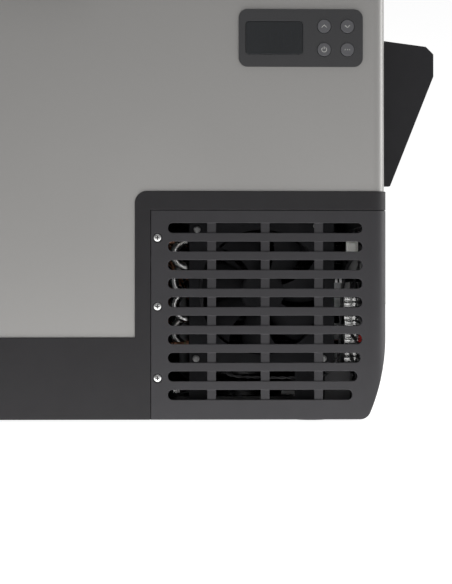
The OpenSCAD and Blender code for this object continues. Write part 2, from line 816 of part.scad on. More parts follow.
// Screws of the hinges' body leaves and of the keeper
module body_screws() {
    color([0.75, 0.75, 0.76]) {
        hinge_screw_places(body_leaf_screw_z) pan_screw(3.2, 1.8, 1.5, 14);
        keeper_screw_places() pan_screw(3.2, 1.8, 1.5, 14);
    }
}

// Screws of the hinges' lid leaves and of the latch
module lid_screws() {
    color([0.75, 0.75, 0.76]) {
        hinge_screw_places(lid_leaf_screw_z) pan_screw(3.2, 1.8, 1.5, 14);
        latch_screw_places() pan_screw(3.2, 1.8, 1.5, 14);
    }
}

module latch_base() {
    color([0.24, 0.24, 0.25]) difference() {
        union() {
            along_y(-half_w - 2, -half_w) translate([0, latch_z + 5]) rounded_2d(104, 32, 3);
            for (x = [-52, 47.5])
                along_x(x, x + 4.5) {
                    translate([latch_y, latch_z]) circle(4);
                    translate([latch_y, latch_z - 4]) square([-half_w - 1 - latch_y, 8]);
                }
        }
        translate([0, latch_y, latch_z]) cylinder_x(latch_pin_r + pin_fit, -60, 60);
        latch_screw_places() translate([0, 0, -4]) cylinder(r = 1.7, h = 8);
    }
}

// Lever plate with its barrel, a hook that catches the keeper and a lip for the fingers
module latch_lever() {
    plate_y = latch_y - 4.2;
    color([0.13, 0.13, 0.14]) difference() {
        union() {
            translate([0, latch_y, latch_z]) cylinder_x(3.4, -47, 47);
            along_y(plate_y, plate_y + 3.5) translate([0, latch_z - 26]) rounded_2d(94, 62, 10);
            span([-12, plate_y + 2, frame_z - 14.5], [12, -half_w - 3, frame_z - 10.3]);
        }
        translate([0, latch_y, latch_z]) cylinder_x(latch_pin_r + pin_fit, -60, 60);
        span([-9, latch_y - 2.8, latch_z - 6], [9, latch_y + 6, latch_z + 6]);
    }
}

module latch_pin() {
    color([0.75, 0.75, 0.76]) translate([0, latch_y, latch_z]) cylinder_x(latch_pin_r, -51, 51);
}

// Torsion spring on the latch's pin
module latch_spring() {
    wire_r = 0.5;
    turns = 13;
    color([0.6, 0.6, 0.62]) translate([-0.45 * (turns - 1), latch_y, latch_z]) rotate([0, 90, 0])
        rotate_extrude() for (i = [0 : turns - 1]) translate([2.2, 0.9 * i]) circle(wire_r);
}

module latch_keeper() {
    color([0.3, 0.3, 0.31]) difference() {
        union() {
            span([-24, -half_w - 2, frame_z - 20], [24, -half_w, frame_z - 4]);
            span([-14, -half_w - 5, frame_z - 10], [14, -half_w - 1, frame_z - 7]);
        }
        keeper_screw_places() translate([0, 0, -4]) cylinder(r = 1.7, h = 8);
    }
}

// ---------------------------------------------------------------- control panel

bezel_front = -half_w - 0.5;
bezel_back = -half_w + 6;

module button_places() {
    for (ix = [0, 1], iz = [0, 1])
        translate([button_x + ix * button_pitch, 0, panel_z + (iz - 0.5) * button_pitch]) children();
}

module control_bezel() {
    color([0.1, 0.1, 0.11]) difference() {
        union() {
            along_y(bezel_front, -half_w + skin_inset) translate([panel_x, panel_z])
                rounded_2d(panel_l, panel_h, 8);
            along_y(-half_w + skin_inset - eps, bezel_back) translate([panel_x, panel_z])
                rounded_2d(panel_l - 7, panel_h - 7, 5);
        }
        along_y(bezel_front - 1, bezel_back + 1) translate([display_x, panel_z])
            rounded_2d(display_l - 4, display_h - 4, 2);
        along_y(bezel_front - 1, bezel_front + 1.6) translate([display_x, panel_z])
            rounded_2d(display_l, display_h, 3);
        button_places() cylinder_y(button_r + 0.3, bezel_front - 1, bezel_back + 1);
    }
}

module display_lens() {
    color([0.05, 0.08, 0.1]) along_y(bezel_front + 0.2, bezel_front + 1.6)
        translate([display_x, panel_z]) rounded_2d(display_l - 0.3, display_h - 0.3, 2.85);
}

module control_board() {
    board_y = -half_w + 13;
    color([0.1, 0.35, 0.2]) {
        span([panel_x - 48, board_y, panel_z - 20], [panel_x + 48, board_y + 1.6, panel_z + 20]);
        span([display_x - 22, bezel_back + 1, panel_z - 12],
             [display_x + 22, board_y + eps, panel_z + 12]);
        button_places() span([-3, bezel_back + 3.6, -3], [3, board_y + eps, 3]);
    }
}

// A round push button; ix and iz give its place in the grid. Its flange keeps it behind the bezel.
module push_button(ix, iz) {
    color([0.3, 0.3, 0.32])
        translate([button_x + ix * button_pitch, 0, panel_z + (iz - 0.5) * button_pitch]) {
            cylinder_y(button_r, bezel_front - 1.1, bezel_back + 0.4);
            cylinder_y(button_r + 1.2, bezel_back + 0.3, bezel_back + 1.2);
            cylinder_y(2.4, bezel_back + 1, bezel_back + 2.2);
        }
}

// ---------------------------------------------------------------- compressor bay

module shroud_screw_places() {
    for (p = shroud_screws)
        translate([fan_x + p[0], shroud_y, fan_z + p[1]]) rotate([90, 0, 0]) children();
}

// Plate around the fan, its side walls back to the condenser and its feet
module fan_shroud() {
    color([0.1, 0.1, 0.11]) difference() {
        union() {
            along_y(shroud_y, shroud_y + 2) translate([fan_x, fan_z])
                rounded_2d(shroud_l, shroud_h, 4);
            for (x = [fan_x - 54, fan_x + 42]) {
                span([x - 12, shroud_y, floor_z],
                     [x + 12, shroud_y + 2, fan_z - shroud_h / 2 + 5]);
                span([x - 12, shroud_y, floor_z], [x + 12, shroud_y + 16, floor_z + 2]);
            }
            for (s = [-1, 1])
                span([fan_x + s * (shroud_l / 2 - 1) - 1, shroud_y + 1, fan_z - shroud_h / 2 + 4],
                     [fan_x + s * (shroud_l / 2 - 1) + 1, coil_y[0] - 15,
                      fan_z + shroud_h / 2 - 4]);
        }
        translate([fan_x, 0, fan_z]) cylinder_y(57, shroud_y - 1, shroud_y + 3);
        shroud_screw_places() translate([0, 0, -3]) cylinder(r = 1.6, h = 4);
    }
}

module shroud_screws() {
    color([0.75, 0.75, 0.76]) shroud_screw_places() pan_screw(3.2, 2, 1.5, 1.9);
}

module fan_frame() {
    y0 = fan_y;
    y1 = fan_y + fan_t;
    color([0.07, 0.07, 0.08]) {
        difference() {
            along_y(y0, y1) translate([fan_x, fan_z]) rounded_2d(fan_size, fan_size, 6);
            translate([fan_x, 0, fan_z]) cylinder_y(57, y0 - 1, y1 + 1);
            for (x = [-52.5, 52.5], z = [-52.5, 52.5])
                translate([fan_x + x, 0, fan_z + z]) cylinder_y(2.2, y0 - 1, y1 + 1);
        }
        translate([fan_x, 0, fan_z]) {
            cylinder_y(21, y1 - 4, y1);
            for (a = [45 : 90 : 315])
                rotate([0, a, 0]) span([20, y1 - 4, -3], [57.5, y1, 3]);
            cylinder_y(2, y0 + 6, y1 - 3);
        }
    }
}

module fan_rotor() {
    y0 = fan_y + 2;
    y1 = fan_y + fan_t - 4.6;
    blades = 7;
    color([0.1, 0.1, 0.11]) translate([fan_x, 0, fan_z]) difference() {
        union() {
            cylinder_y(20, y0, y1);
            intersection() {
                cylinder_y(55.5, y0, y1);
                for (i = [0 : blades - 1])
                    rotate([0, 360 * i / blades, 0]) translate([0, (y0 + y1) / 2, 0])
                        rotate([38, 0, 0]) translate([18, -0.9, -14]) cube([38, 1.8, 28]);
            }
        }
        cylinder_y(2 + pin_fit, y0 + 3, y1 + 1);
        cylinder_y(18, y0 + 9, y1 + 1);
    }
}

// Centres of the condenser's straight tubes in Y and Z, in flow order
coil_centres = [
    for (i = [0 : coil_rows - 1])
        let (a = i % 2)
        each [[coil_y[a], coil_z0 + i * coil_pitch], [coil_y[1 - a], coil_z0 + i * coil_pitch]]
];
coil_block_z = coil_z0 - 12;
coil_block_h = 24 + coil_pitch * (coil_rows - 1);

module condenser_fins() {
    color([0.75, 0.76, 0.77]) for (i = [0 : fin_count - 1])
        along_x(fin_x0 + i * fin_pitch - 0.3, fin_x0 + i * fin_pitch + 0.3) difference() {
            translate([coil_y[0] - 11, coil_block_z]) square([42, coil_block_h]);
            for (c = coil_centres) translate(c) circle(coil_r + 0.05);
        }
}

// Sheet plates at both ends of the fins, folded out at the front and standing on the floor
module condenser_end_plates() {
    color([0.7, 0.7, 0.72]) for (s = [-1, 1]) {
        x = fan_x + s * 60.5;
        along_x(x - 0.5, x + 0.5) difference() {
            translate([coil_y[0] - 13, floor_z])
                square([46, coil_block_z + coil_block_h + 2 - floor_z]);
            for (c = coil_centres) translate(c) circle(coil_r + 0.1);
        }
        span([min(x, x - 8 * s), coil_y[0] - 14, coil_block_z - 8],
             [max(x, x - 8 * s), coil_y[0] - 13, coil_block_z + coil_block_h + 2]);
        span([min(x, x - 14 * s), coil_y[0] - 13, floor_z],
             [max(x, x - 14 * s), coil_y[0] + 33, floor_z + 1]);
    }
}

// Half-turn bend between two neighbouring tubes a and b, at the end x, bulging towards dir
module return_bend(a, b, x, dir) {
    middle = (a + b) / 2;
    half = norm(b - a) / 2;
    turn = atan2(b[1] - a[1], b[0] - a[0]);
    translate([x, middle[0], middle[1]]) rotate([turn, 0, 0]) rotate([0, 0, dir > 0 ? -90 : 90])
        rotate_extrude(angle = 180) translate([half, 0]) circle(coil_r);
}

module condenser_tube() {
    color([0.72, 0.45, 0.3]) {
        for (c = coil_centres)
            translate([0, c[0], c[1]]) cylinder_x(coil_r, coil_end, coil_end + 2 * coil_half);
        for (i = [0 : len(coil_centres) - 2])
            return_bend(coil_centres[i], coil_centres[i + 1],
                        fan_x + (i % 2 == 0 ? 1 : -1) * coil_half, i % 2 == 0 ? 1 : -1);
    }
}

// Welded shell with its port stubs and its foot plate
module compressor_shell() {
    dome_r = 84;
    color([0.06, 0.06, 0.07]) {
        translate([comp_x, comp_y, comp_z]) {
            intersection() {
                cylinder(r = comp_r, h = comp_h);
                translate([0, 0, comp_h - dome_r]) sphere(dome_r);
                translate([0, 0, dome_r - 12]) sphere(dome_r);
            }
            translate([0, 0, comp_h * 0.52]) cylinder(r = comp_r + 3, h = 5);
            translate([0, 0, -9]) cylinder(r = 40, h = 18);
        }
        stub([comp_x, comp_y, discharge_port[2]], discharge_port, 4.5);
        stub([comp_x, comp_y, suction_port[2]], suction_port, 5.5);
        difference() {
            translate([comp_x, comp_y, comp_z - 9]) linear_extrude(3) rounded_2d(156, 144, 14);
            compressor_foot_places() cylinder(r = 6.1, h = 60);
        }
    }
}

// Horizontal port stub from the shell's axis a to its end b
module stub(a, b, r) {
    translate(a) rotate([0, 0, atan2(b[1] - a[1], b[0] - a[0])]) rotate([0, 90, 0])
        cylinder(r = r, h = norm(b - a));
}

module compressor_foot_places() {
    for (x = [-66, 66], y = [-60, 60]) translate([comp_x + x, comp_y + y, 0]) children();
}

// Cap over the electrical terminals on the compressor's side
module terminal_cover() {
    color([0.09, 0.09, 0.1]) difference() {
        span([comp_x + 48, comp_y - 24, comp_z + 38], [comp_x + 72, comp_y + 24, comp_z + 64]);
        translate([comp_x, comp_y, 0]) cylinder(r = comp_r + 0.2, h = 200);
    }
}

module compressor_grommets() {
    color([0.12, 0.12, 0.12]) compressor_foot_places() difference() {
        union() {
            translate([0, 0, floor_z]) cylinder(r = 10, h = comp_z - 9 - floor_z);
            translate([0, 0, comp_z - 10]) cylinder(r = 6, h = 6);
            translate([0, 0, comp_z - 6]) cylinder(r = 9, h = 3);
        }
        cylinder(r = 3.6, h = 60);
    }
}

module compressor_bolts() {
    color([0.75, 0.75, 0.76]) compressor_foot_places() {
        translate([0, 0, floor_z]) cylinder(r = 3.5, h = comp_z - 4 - floor_z);
        translate([0, 0, comp_z - 3]) cylinder(r = 6.5, h = 4, $fn = 6);
        translate([0, 0, comp_z - 5]) cylinder(r = 3.5, h = 3);
    }
}

// Folded sheet shelf that carries the drive and the power converter
module electronics_bracket() {
    y0 = -half_w + 35;
    y1 = comp_y + 6;
    color([0.62, 0.63, 0.64]) {
        span([shelf_x0, y0, shelf_z], [half_l - 8, y1, shelf_z + 1.5]);
        span([shelf_x0 - 4, y0, floor_z], [shelf_x0 + 20, y0 + 1.5, shelf_z + 1.5]);
        span([shelf_x0 + 8, y1 - 1.5, floor_z], [shelf_x0 + 22, y1, shelf_z + 1.5]);
        span([shelf_x0 - 4, y0, floor_z], [shelf_x0 + 20, y0 + 14, floor_z + 1.5]);
        span([shelf_x0 + 8, y1 - 14, floor_z], [shelf_x0 + 22, y1, floor_z + 1.5]);
    }
}

// Electronic drive of the compressor: a finned box with a terminal strip at its front
module controller_module() {
    z0 = shelf_z + 1.5;
    color([0.12, 0.12, 0.13]) {
        span([drive_x0, terminal_y + 20, z0], [drive_x1, -44, 116]);
        for (i = [0 : 4])
            span([drive_x0 + 0.5 + 3.6 * i, terminal_y + 20, 116 - eps],
                 [drive_x0 + 2.1 + 3.6 * i, -44, 126]);
        span([drive_x0 - 6, terminal_y + 2, z0], [drive_x0 + 8, terminal_y + 20 + eps, 114]);
        for (i = [0 : 5])
            span([drive_x0 - 4, terminal_y, 53 + 10 * i],
                 [drive_x0 + 6, terminal_y + 2 + eps, 60 + 10 * i]);
    }
}

module power_converter() {
    x0 = shelf_x0 + 10;
    color([0.66, 0.67, 0.68]) difference() {
        span([x0, -36, shelf_z + 1.5], [drive_x1, 44, 126]);
        for (i = [0 : 7]) span([x0 - 1, -30 + 9 * i, 62], [x0 + 1.5, -26 + 9 * i, 112]);
    }
}

// Plug of the fan's lead
module fan_connector() {
    color([0.75, 0.75, 0.73]) {
        span([277, -166, 151], [288, -158, 165]);
        span([279, -167, 154], [286, -166 + eps, 162]);
    }
}

module filter_drier() {
    color([0.75, 0.45, 0.3]) translate([drier_x, drier_y, 0]) rotate_extrude()
        polygon([[0, 60], [3, 60], [3, 74], [9, 86], [9, 140], [3, 152], [3, 164], [0, 164]]);
}

module refrigerant_lines() {
    color([0.75, 0.45, 0.3]) {
        swept_tube(discharge_route, 3);
        swept_tube(liquid_route, 3);
        swept_tube(suction_route, 4);
        swept_tube(capillary_route, 1.2, 8);
    }
}

module wiring_harness() {
    color([0.7, 0.1, 0.1]) for (w = wire_routes) swept_tube(w, 1.5, 6, 3);
}

// Recessed inlet with its pins; place it with inlet_place()
module inlet(pins) {
    difference() {
        union() {
            translate([0, 0, 0.1]) linear_extrude(1.6) rounded_2d(27, 37, 4);
            translate([0, 0, -20]) linear_extrude(20.2) rounded_2d(21.6, 31.6, 2.8);
        }
        translate([0, 0, -17]) linear_extrude(20) rounded_2d(16, 26, 2);
    }
    for (p = pins) translate([p[0] - 1, p[1] - 2.2, -17.5]) cube([2, 4.4, 9]);
}

module dc_inlet() {
    color([0.08, 0.08, 0.08]) inlet_place() translate([0, 27, 0]) inlet([[0, -6], [0, 6]]);
}

module ac_inlet() {
    color([0.08, 0.08, 0.08]) inlet_place() translate([0, -27, 0])
        inlet([[-3, -7], [3, 0], [-3, 7]]);
}

// ---------------------------------------------------------------- food compartment

module led_lamp() {
    y = cavity_w / 2;
    color([0.95, 0.95, 0.9]) along_y(y - 4, y) translate([-60, foam_top_z - 36])
        rounded_2d(46, 14, 4);
}

basket_l = deep_l - 16;
basket_w = cavity_w - 16;
basket_z0 = deep_z + 18;
basket_z1 = frame_z - 72;
basket_bar = 3;
basket_gap = 0.1;

// Upright grille of the basket: a grid of bars in X and Z, centred on x = 0
module basket_grid_2d(l, z0, z1) {
    bays = round(l / 30);
    levels = 5;
    for (i = [0 : bays])
        translate([-l / 2 + i * (l - basket_bar) / bays, z0]) square([basket_bar, z1 - z0]);
    for (i = [0 : levels])
        translate([-l / 2, z0 + i * (z1 - z0 - basket_bar) / levels]) square([l, basket_bar]);
}

// Four upright grilles and a floor grille, a weld's width apart
module wire_basket() {
    inner_l = basket_l - 2 * (basket_bar + basket_gap);
    inner_w = basket_w - 2 * (basket_bar + basket_gap);
    color([0.9, 0.9, 0.9]) translate([deep_x, 0, 0]) {
        for (s = [-1, 1]) {
            translate([0, s * (basket_w - basket_bar) / 2, 0])
                along_y(-basket_bar / 2, basket_bar / 2)
                    basket_grid_2d(basket_l, basket_z0, basket_z1);
            translate([s * (basket_l - basket_bar) / 2, 0, 0])
                along_x(-basket_bar / 2, basket_bar / 2)
                    basket_grid_2d(inner_w, basket_z0, basket_z1);
        }
        translate([0, 0, basket_z0]) linear_extrude(basket_bar) {
            for (i = [1 : 9])
                translate([-basket_l / 2 + i * basket_l / 10, -inner_w / 2])
                    square([basket_bar, inner_w]);
            for (i = [1 : 4])
                translate([-inner_l / 2, -basket_w / 2 + i * basket_w / 5])
                    square([inner_l, basket_bar]);
        }
        for (x = [-1, 1], y = [-1, 1])
            translate([x * (basket_l / 2 - 16) - basket_bar / 2,
                       y * (basket_w - basket_bar) / 2 - basket_bar / 2, deep_z + 0.3])
                cube([basket_bar, basket_bar, basket_z0 - deep_z]);
    }
}

// Divider that hangs in the basket
module basket_divider() {
    color([0.9, 0.9, 0.9]) translate([deep_x + 36, 0, 0])
        along_x(-basket_bar / 2, basket_bar / 2)
            basket_grid_2d(basket_w - 2 * basket_bar - 2, basket_z0 + basket_bar + 1, basket_z1 - 4);
}

// ---------------------------------------------------------------- assembly

base_tray();
outer_skin();
compressor_cover();
cover_screws();
bay_liner();
foam_insulation();
inner_liner();
evaporator_plate();
top_frame();
rubber_feet();
drain_tube();
drain_plug();
handle(1);  // handle_right
handle(-1);  // handle_left
handle_grips();
handle_screws();
lid_outer();
lid_foam();
lid_inner();
lid_gasket();
hinge_body_leaves();
hinge_lid_leaves();
hinge_pins();
body_screws();
lid_screws();
latch_base();
latch_lever();
latch_pin();
latch_spring();
latch_keeper();
control_bezel();
display_lens();
push_button(0, 0);  // button_power
push_button(1, 0);  // button_mode
push_button(0, 1);  // button_up
push_button(1, 1);  // button_down
control_board();
fan_shroud();
fan_frame();
fan_rotor();
shroud_screws();
condenser_fins();
condenser_tube();
condenser_end_plates();
compressor_shell();
terminal_cover();
compressor_grommets();
compressor_bolts();
electronics_bracket();
controller_module();
power_converter();
fan_connector();
filter_drier();
refrigerant_lines();
wiring_harness();
dc_inlet();
ac_inlet();
led_lamp();
wire_basket();
basket_divider();
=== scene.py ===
"""Looks of the compressor cooler fridge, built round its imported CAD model.

Metres, +Z up, front towards -Y, origin at the centre of the footprint on the floor. Sizes and places
come from the CAD nodes' boxes; the routes of pipes and wires repeat those of the CAD source.
"""

import json
import math
import random

import bmesh
import bpy
from mathutils import Matrix, Vector


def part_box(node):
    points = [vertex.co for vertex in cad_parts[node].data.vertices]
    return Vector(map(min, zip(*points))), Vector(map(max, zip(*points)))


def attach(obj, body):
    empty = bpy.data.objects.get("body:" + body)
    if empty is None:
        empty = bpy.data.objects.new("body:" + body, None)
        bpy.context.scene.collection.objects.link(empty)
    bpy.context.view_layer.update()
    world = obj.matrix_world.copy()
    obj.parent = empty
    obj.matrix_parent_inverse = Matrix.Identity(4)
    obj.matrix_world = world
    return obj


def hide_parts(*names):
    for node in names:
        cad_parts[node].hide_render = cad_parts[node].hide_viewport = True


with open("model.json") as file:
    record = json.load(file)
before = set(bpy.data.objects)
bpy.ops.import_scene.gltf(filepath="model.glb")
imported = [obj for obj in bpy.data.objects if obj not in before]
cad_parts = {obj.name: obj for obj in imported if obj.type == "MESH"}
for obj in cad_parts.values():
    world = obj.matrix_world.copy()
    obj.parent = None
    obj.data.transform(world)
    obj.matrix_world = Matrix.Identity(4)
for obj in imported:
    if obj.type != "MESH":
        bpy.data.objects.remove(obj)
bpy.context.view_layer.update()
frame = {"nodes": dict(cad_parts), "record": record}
NODES = frame["nodes"]
BODY_OF = {node: body for body, nodes in frame["record"]["behaviour"]["bodies"].items() for node in nodes}
MM = 0.001
SEED = 7


def mm(*values):
    """A point given in millimetres."""
    return Vector(values) * MM


# ---------------------------------------------------------------- camera, light and floor

FRONT_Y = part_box("base_tray")[0].y
# The camera aims at VIEW_X, VIEW_Z on the front, from CAMERA_DISTANCE before it.
VIEW_X = 0.166
VIEW_Z = 0.117
CAMERA_X = 0.085
CAMERA_DISTANCE = 2.2
LENS_MM = 150.7


def make_camera():
    """Looks level and a little to the right at the compressor end of the front."""
    camera = bpy.data.objects.new("camera", bpy.data.cameras.new("camera"))
    bpy.context.scene.collection.objects.link(camera)
    camera.data.lens = LENS_MM
    camera.location = (CAMERA_X, FRONT_Y - CAMERA_DISTANCE, VIEW_Z)
    aim = Vector((VIEW_X, FRONT_Y, VIEW_Z)) - camera.location
    camera.rotation_euler = aim.to_track_quat("-Z", "Y").to_euler()
    bpy.context.scene.camera = camera


def add_area(name, place, target, size, watts):
    light = bpy.data.lights.new(name, "AREA")
    light.shape = "RECTANGLE"
    light.size, light.size_y = size
    light.energy = watts
    lamp = bpy.data.objects.new(name, light)
    bpy.context.scene.collection.objects.link(lamp)
    lamp.location = place
    lamp.rotation_euler = (Vector(target) - Vector(place)).to_track_quat("-Z", "Y").to_euler()
    lamp.visible_camera = False


HORIZON = (1.0, 1.0, 1.0)
CEILING = (0.42, 0.42, 0.425)
FRONT_DIM = (0.5, 0.5, 0.505)


def make_world():
    """White round the horizon, dimmer overhead and on the side that the front faces."""
    world = bpy.data.worlds.new("light_tent")
    bpy.context.scene.world = world
    world.use_nodes = True
    tree = world.node_tree
    coords = tree.nodes.new("ShaderNodeTexCoord")
    split = tree.nodes.new("ShaderNodeSeparateXYZ")
    tree.links.new(coords.outputs["Generated"], split.inputs[0])

    def graded(source, start, end, low, high):
        ramp = tree.nodes.new("ShaderNodeValToRGB")
        ramp.color_ramp.elements[0].position = start
        ramp.color_ramp.elements[0].color = (*low, 1)
        ramp.color_ramp.elements[1].position = end
        ramp.color_ramp.elements[1].color = (*high, 1)
        tree.links.new(source, ramp.inputs[0])
        return ramp.outputs[0]

    # A ramp reads 0 to 1, so the way from front (-1) to back (1) is brought into that range.
    depth = tree.nodes.new("ShaderNodeMath")
    depth.operation = "MULTIPLY_ADD"
    depth.inputs[1].default_value = 0.5
    depth.inputs[2].default_value = 0.5
    tree.links.new(split.outputs["Y"], depth.inputs[0])
    overhead = graded(split.outputs["Z"], 0.08, 0.5, HORIZON, CEILING)
    facing = graded(depth.outputs[0], 0.28, 0.5, FRONT_DIM, HORIZON)
    both = tree.nodes.new("ShaderNodeMix")
    both.data_type = "RGBA"
    both.blend_type = "MULTIPLY"
    both.inputs[0].default_value = 1.0
    tree.links.new(overhead, both.inputs[6])
    tree.links.new(facing, both.inputs[7])
    background = tree.nodes["Background"]
    tree.links.new(both.outputs[2], background.inputs["Color"])
    background.inputs["Strength"].default_value = 1.03


GLOW_Y = FRONT_Y - 0.09
# Each with its place, target, size and watts.
AREA_LIGHTS = {
    "bounce_card": ((0.6, -1.65, 0.2), (0.25, -0.2, 0.1), (1.5, 0.4), 2.2),
    "table_glow": ((0.1, GLOW_Y, 0.001), (0.1, GLOW_Y, 1.0), (1.8, 0.24), 2.6),
    "side_box": ((1.7, 0.25, 0.35), (0.31, -0.19, 0.2), (0.5, 1.0), 8.0),
}


def make_lights():
    """A broad overhead sun and three rectangular lamps: before, under and beside the fridge."""
    sun = bpy.data.lights.new("overhead", "SUN")
    sun.energy = 2.2
    sun.angle = math.radians(90)
    lamp = bpy.data.objects.new("overhead", sun)
    bpy.context.scene.collection.objects.link(lamp)
    lamp.rotation_euler = (math.radians(-14), math.radians(6), 0)
    for name, settings in AREA_LIGHTS.items():
        add_area(name, *settings)


def make_floor():
    """A light table: its sheet glows, so what stands on it throws next to no shadow."""
    half = 20.0
    mesh = bpy.data.meshes.new("floor")
    corners = [(-half, -half, 0), (half, -half, 0), (half, half, 0), (-half, half, 0)]
    mesh.from_pydata(corners, [], [(0, 1, 2, 3)])
    floor = bpy.data.objects.new("floor", mesh)
    bpy.context.scene.collection.objects.link(floor)
    paint = Finish("light_table", (0.25, 0.25, 0.25), 0.6, specular=0.2)
    paint.vary_colour(paint.noise(2.0, 3), 0.985, 1.015)
    paint.set("Emission Color", (1.0, 1.0, 1.0, 1))
    paint.set("Emission Strength", 0.92)
    mesh.materials.append(paint.material)


# ---------------------------------------------------------------- materials


class Finish:
    """A material on a Principled shader, with short calls for the nodes that the finishes use."""

    def __init__(self, name, colour, roughness, metallic=0.0, specular=0.5):
        self.base = None
        self.material = bpy.data.materials.new(name)
        self.material.use_nodes = True
        self.tree = self.material.node_tree
        self.shader = self.tree.nodes["Principled BSDF"]
        self.colour = colour
        self.normal = None
        self.set("Base Color", (*colour, 1))
        self.set("Roughness", roughness)
        self.set("Metallic", metallic)
        self.set("Specular IOR Level", specular)
        self.coords = self.add("ShaderNodeTexCoord").outputs["Object"]

    def set(self, socket, value):
        self.shader.inputs[socket].default_value = value

    def add(self, kind, **settings):
        node = self.tree.nodes.new(kind)
        for key, value in settings.items():
            setattr(node, key, value)
        return node

    def link(self, output, socket):
        self.tree.links.new(output, socket)

    def stretched(self, factors):
        """Object coordinates multiplied along each axis."""
        node = self.add("ShaderNodeVectorMath", operation="MULTIPLY")
        self.link(self.coords, node.inputs[0])
        node.inputs[1].default_value = factors
        return node.outputs[0]

    def noise(self, scale, detail=2.0, stretch=None):
        node = self.add("ShaderNodeTexNoise")
        node.inputs["Scale"].default_value = scale
        node.inputs["Detail"].default_value = detail
        self.link(self.stretched(stretch) if stretch else self.coords, node.inputs["Vector"])
        return node.outputs[0]

    def cells(self, scale, stretch=None):
        node = self.add("ShaderNodeTexVoronoi")
        node.inputs["Scale"].default_value = scale
        self.link(self.stretched(stretch) if stretch else self.coords, node.inputs["Vector"])
        return node.outputs["Distance"]

    def ramp(self, fac, low, high, start=0.3, end=0.7):
        node = self.add("ShaderNodeValToRGB")
        node.color_ramp.elements[0].position = start
        node.color_ramp.elements[1].position = end
        node.color_ramp.elements[0].color = (*low, 1)
        node.color_ramp.elements[1].color = (*high, 1)
        self.link(fac, node.inputs[0])
        return node.outputs[0]

    def vary_colour(self, fac, low, high):
        """Colour between low and high times the base colour."""
        dark = [c * low for c in self.colour]
        light = [min(1.0, c * high) for c in self.colour]
        self.base = self.ramp(fac, dark, light)
        self.link(self.base, self.shader.inputs["Base Color"])

    def mix_colour(self, mask, colour):
        """Lays a second colour over the base where the mask is 1."""
        node = self.add("ShaderNodeMix", data_type="RGBA")
        self.link(mask, node.inputs[0])
        self.link(self.base, node.inputs[6])
        node.inputs[7].default_value = (*colour, 1)
        self.base = node.outputs[2]
        self.link(self.base, self.shader.inputs["Base Color"])

    def mask(self, fac, start, end):
        node = self.add("ShaderNodeMapRange")
        node.inputs["From Min"].default_value = start
        node.inputs["From Max"].default_value = end
        self.link(fac, node.inputs["Value"])
        return node.outputs[0]

    def product(self, a, b):
        node = self.add("ShaderNodeMath", operation="MULTIPLY")
        self.link(a, node.inputs[0])
        self.link(b, node.inputs[1])
        return node.outputs[0]

    def vary_roughness(self, fac, low, high):
        node = self.add("ShaderNodeMapRange")
        node.inputs["From Min"].default_value = 0.3
        node.inputs["From Max"].default_value = 0.7
        node.inputs["To Min"].default_value = low
        node.inputs["To Max"].default_value = high
        self.link(fac, node.inputs["Value"])
        self.link(node.outputs[0], self.shader.inputs["Roughness"])

    def bump(self, height, distance, strength=1.0):
        node = self.add("ShaderNodeBump")
        node.inputs["Distance"].default_value = distance
        node.inputs["Strength"].default_value = strength
        self.link(height, node.inputs["Height"])
        if self.normal is not None:
            self.link(self.normal, node.inputs["Normal"])
        self.normal = node.outputs[0]
        self.link(self.normal, self.shader.inputs["Normal"])

    def round_edges(self, radius):
        """Bends the normals near sharp edges, as on a moulding's small radii; called before bump()."""
        node = self.add("ShaderNodeBevel", samples=6)
        node.inputs["Radius"].default_value = radius
        self.normal = node.outputs[0]
        self.link(self.normal, self.shader.inputs["Normal"])

    def edge_wear(self, colour, amount=0.6):
        """Rubs the rounded edges, where refined() marks them, to a second colour."""
        edge = self.add("ShaderNodeAttribute", attribute_name="edge")
        rub = self.mask(self.noise(90, 3), 0.35, 0.65)
        scaled = self.add("ShaderNodeMath", operation="MULTIPLY")
        self.link(self.product(edge.outputs["Fac"], rub), scaled.inputs[0])
        scaled.inputs[1].default_value = amount
        self.mix_colour(scaled.outputs[0], colour)


def moulded(name, colour, roughness=0.45, grain=2600, depth=0.00003, wear=0.5, specular=0.5, edge=0.0):
    """Fine-grained moulded plastic."""
    paint = Finish(name, colour, roughness, specular=specular)
    paint.vary_colour(paint.noise(60, 4), 0.95, 1.05)
    paint.vary_roughness(paint.noise(140, 3), roughness - 0.02, roughness + 0.03)
    if edge:
        paint.round_edges(edge)
    paint.bump(paint.noise(grain, 2), depth, 0.6)
    paint.edge_wear([min(1.0, c * 2.2 + 0.01) for c in colour], wear)
    return paint.material


def flat_black(name, colour):
    """Matt moulded plastic out of the light, with dust in its corners."""
    paint = Finish(name, colour, 0.85, specular=0.12)
    paint.vary_colour(paint.noise(40, 4), 0.85, 1.25)
    paint.vary_roughness(paint.noise(90, 3), 0.78, 0.92)
    paint.bump(paint.noise(1800, 2), 0.00003, 0.5)
    paint.edge_wear([c * 2.6 for c in colour], 0.5)
    return paint.material


def lacquered(name, colour, roughness=0.36, metallic=0.3):
    """Metallic lacquer on sheet steel: fine flakes under a slight orange peel."""
    paint = Finish(name, colour, roughness, metallic)
    paint.vary_colour(paint.noise(5200, 2), 0.94, 1.06)
    paint.vary_roughness(paint.noise(9, 4), roughness - 0.03, roughness + 0.04)
    paint.bump(paint.noise(420, 2), 0.00003, 0.35)
    paint.bump(paint.noise(3800, 2), 0.00001, 0.4)
    return paint.material


def enamelled(name, colour, roughness=0.3):
    paint = Finish(name, colour, roughness)
    paint.vary_colour(paint.noise(20, 4), 0.85, 1.2)
    paint.vary_roughness(paint.noise(30, 3), roughness - 0.06, roughness + 0.1)
    paint.bump(paint.noise(700, 3), 0.00006, 0.5)
    paint.edge_wear((0.2, 0.2, 0.2), 0.4)
    return paint.material


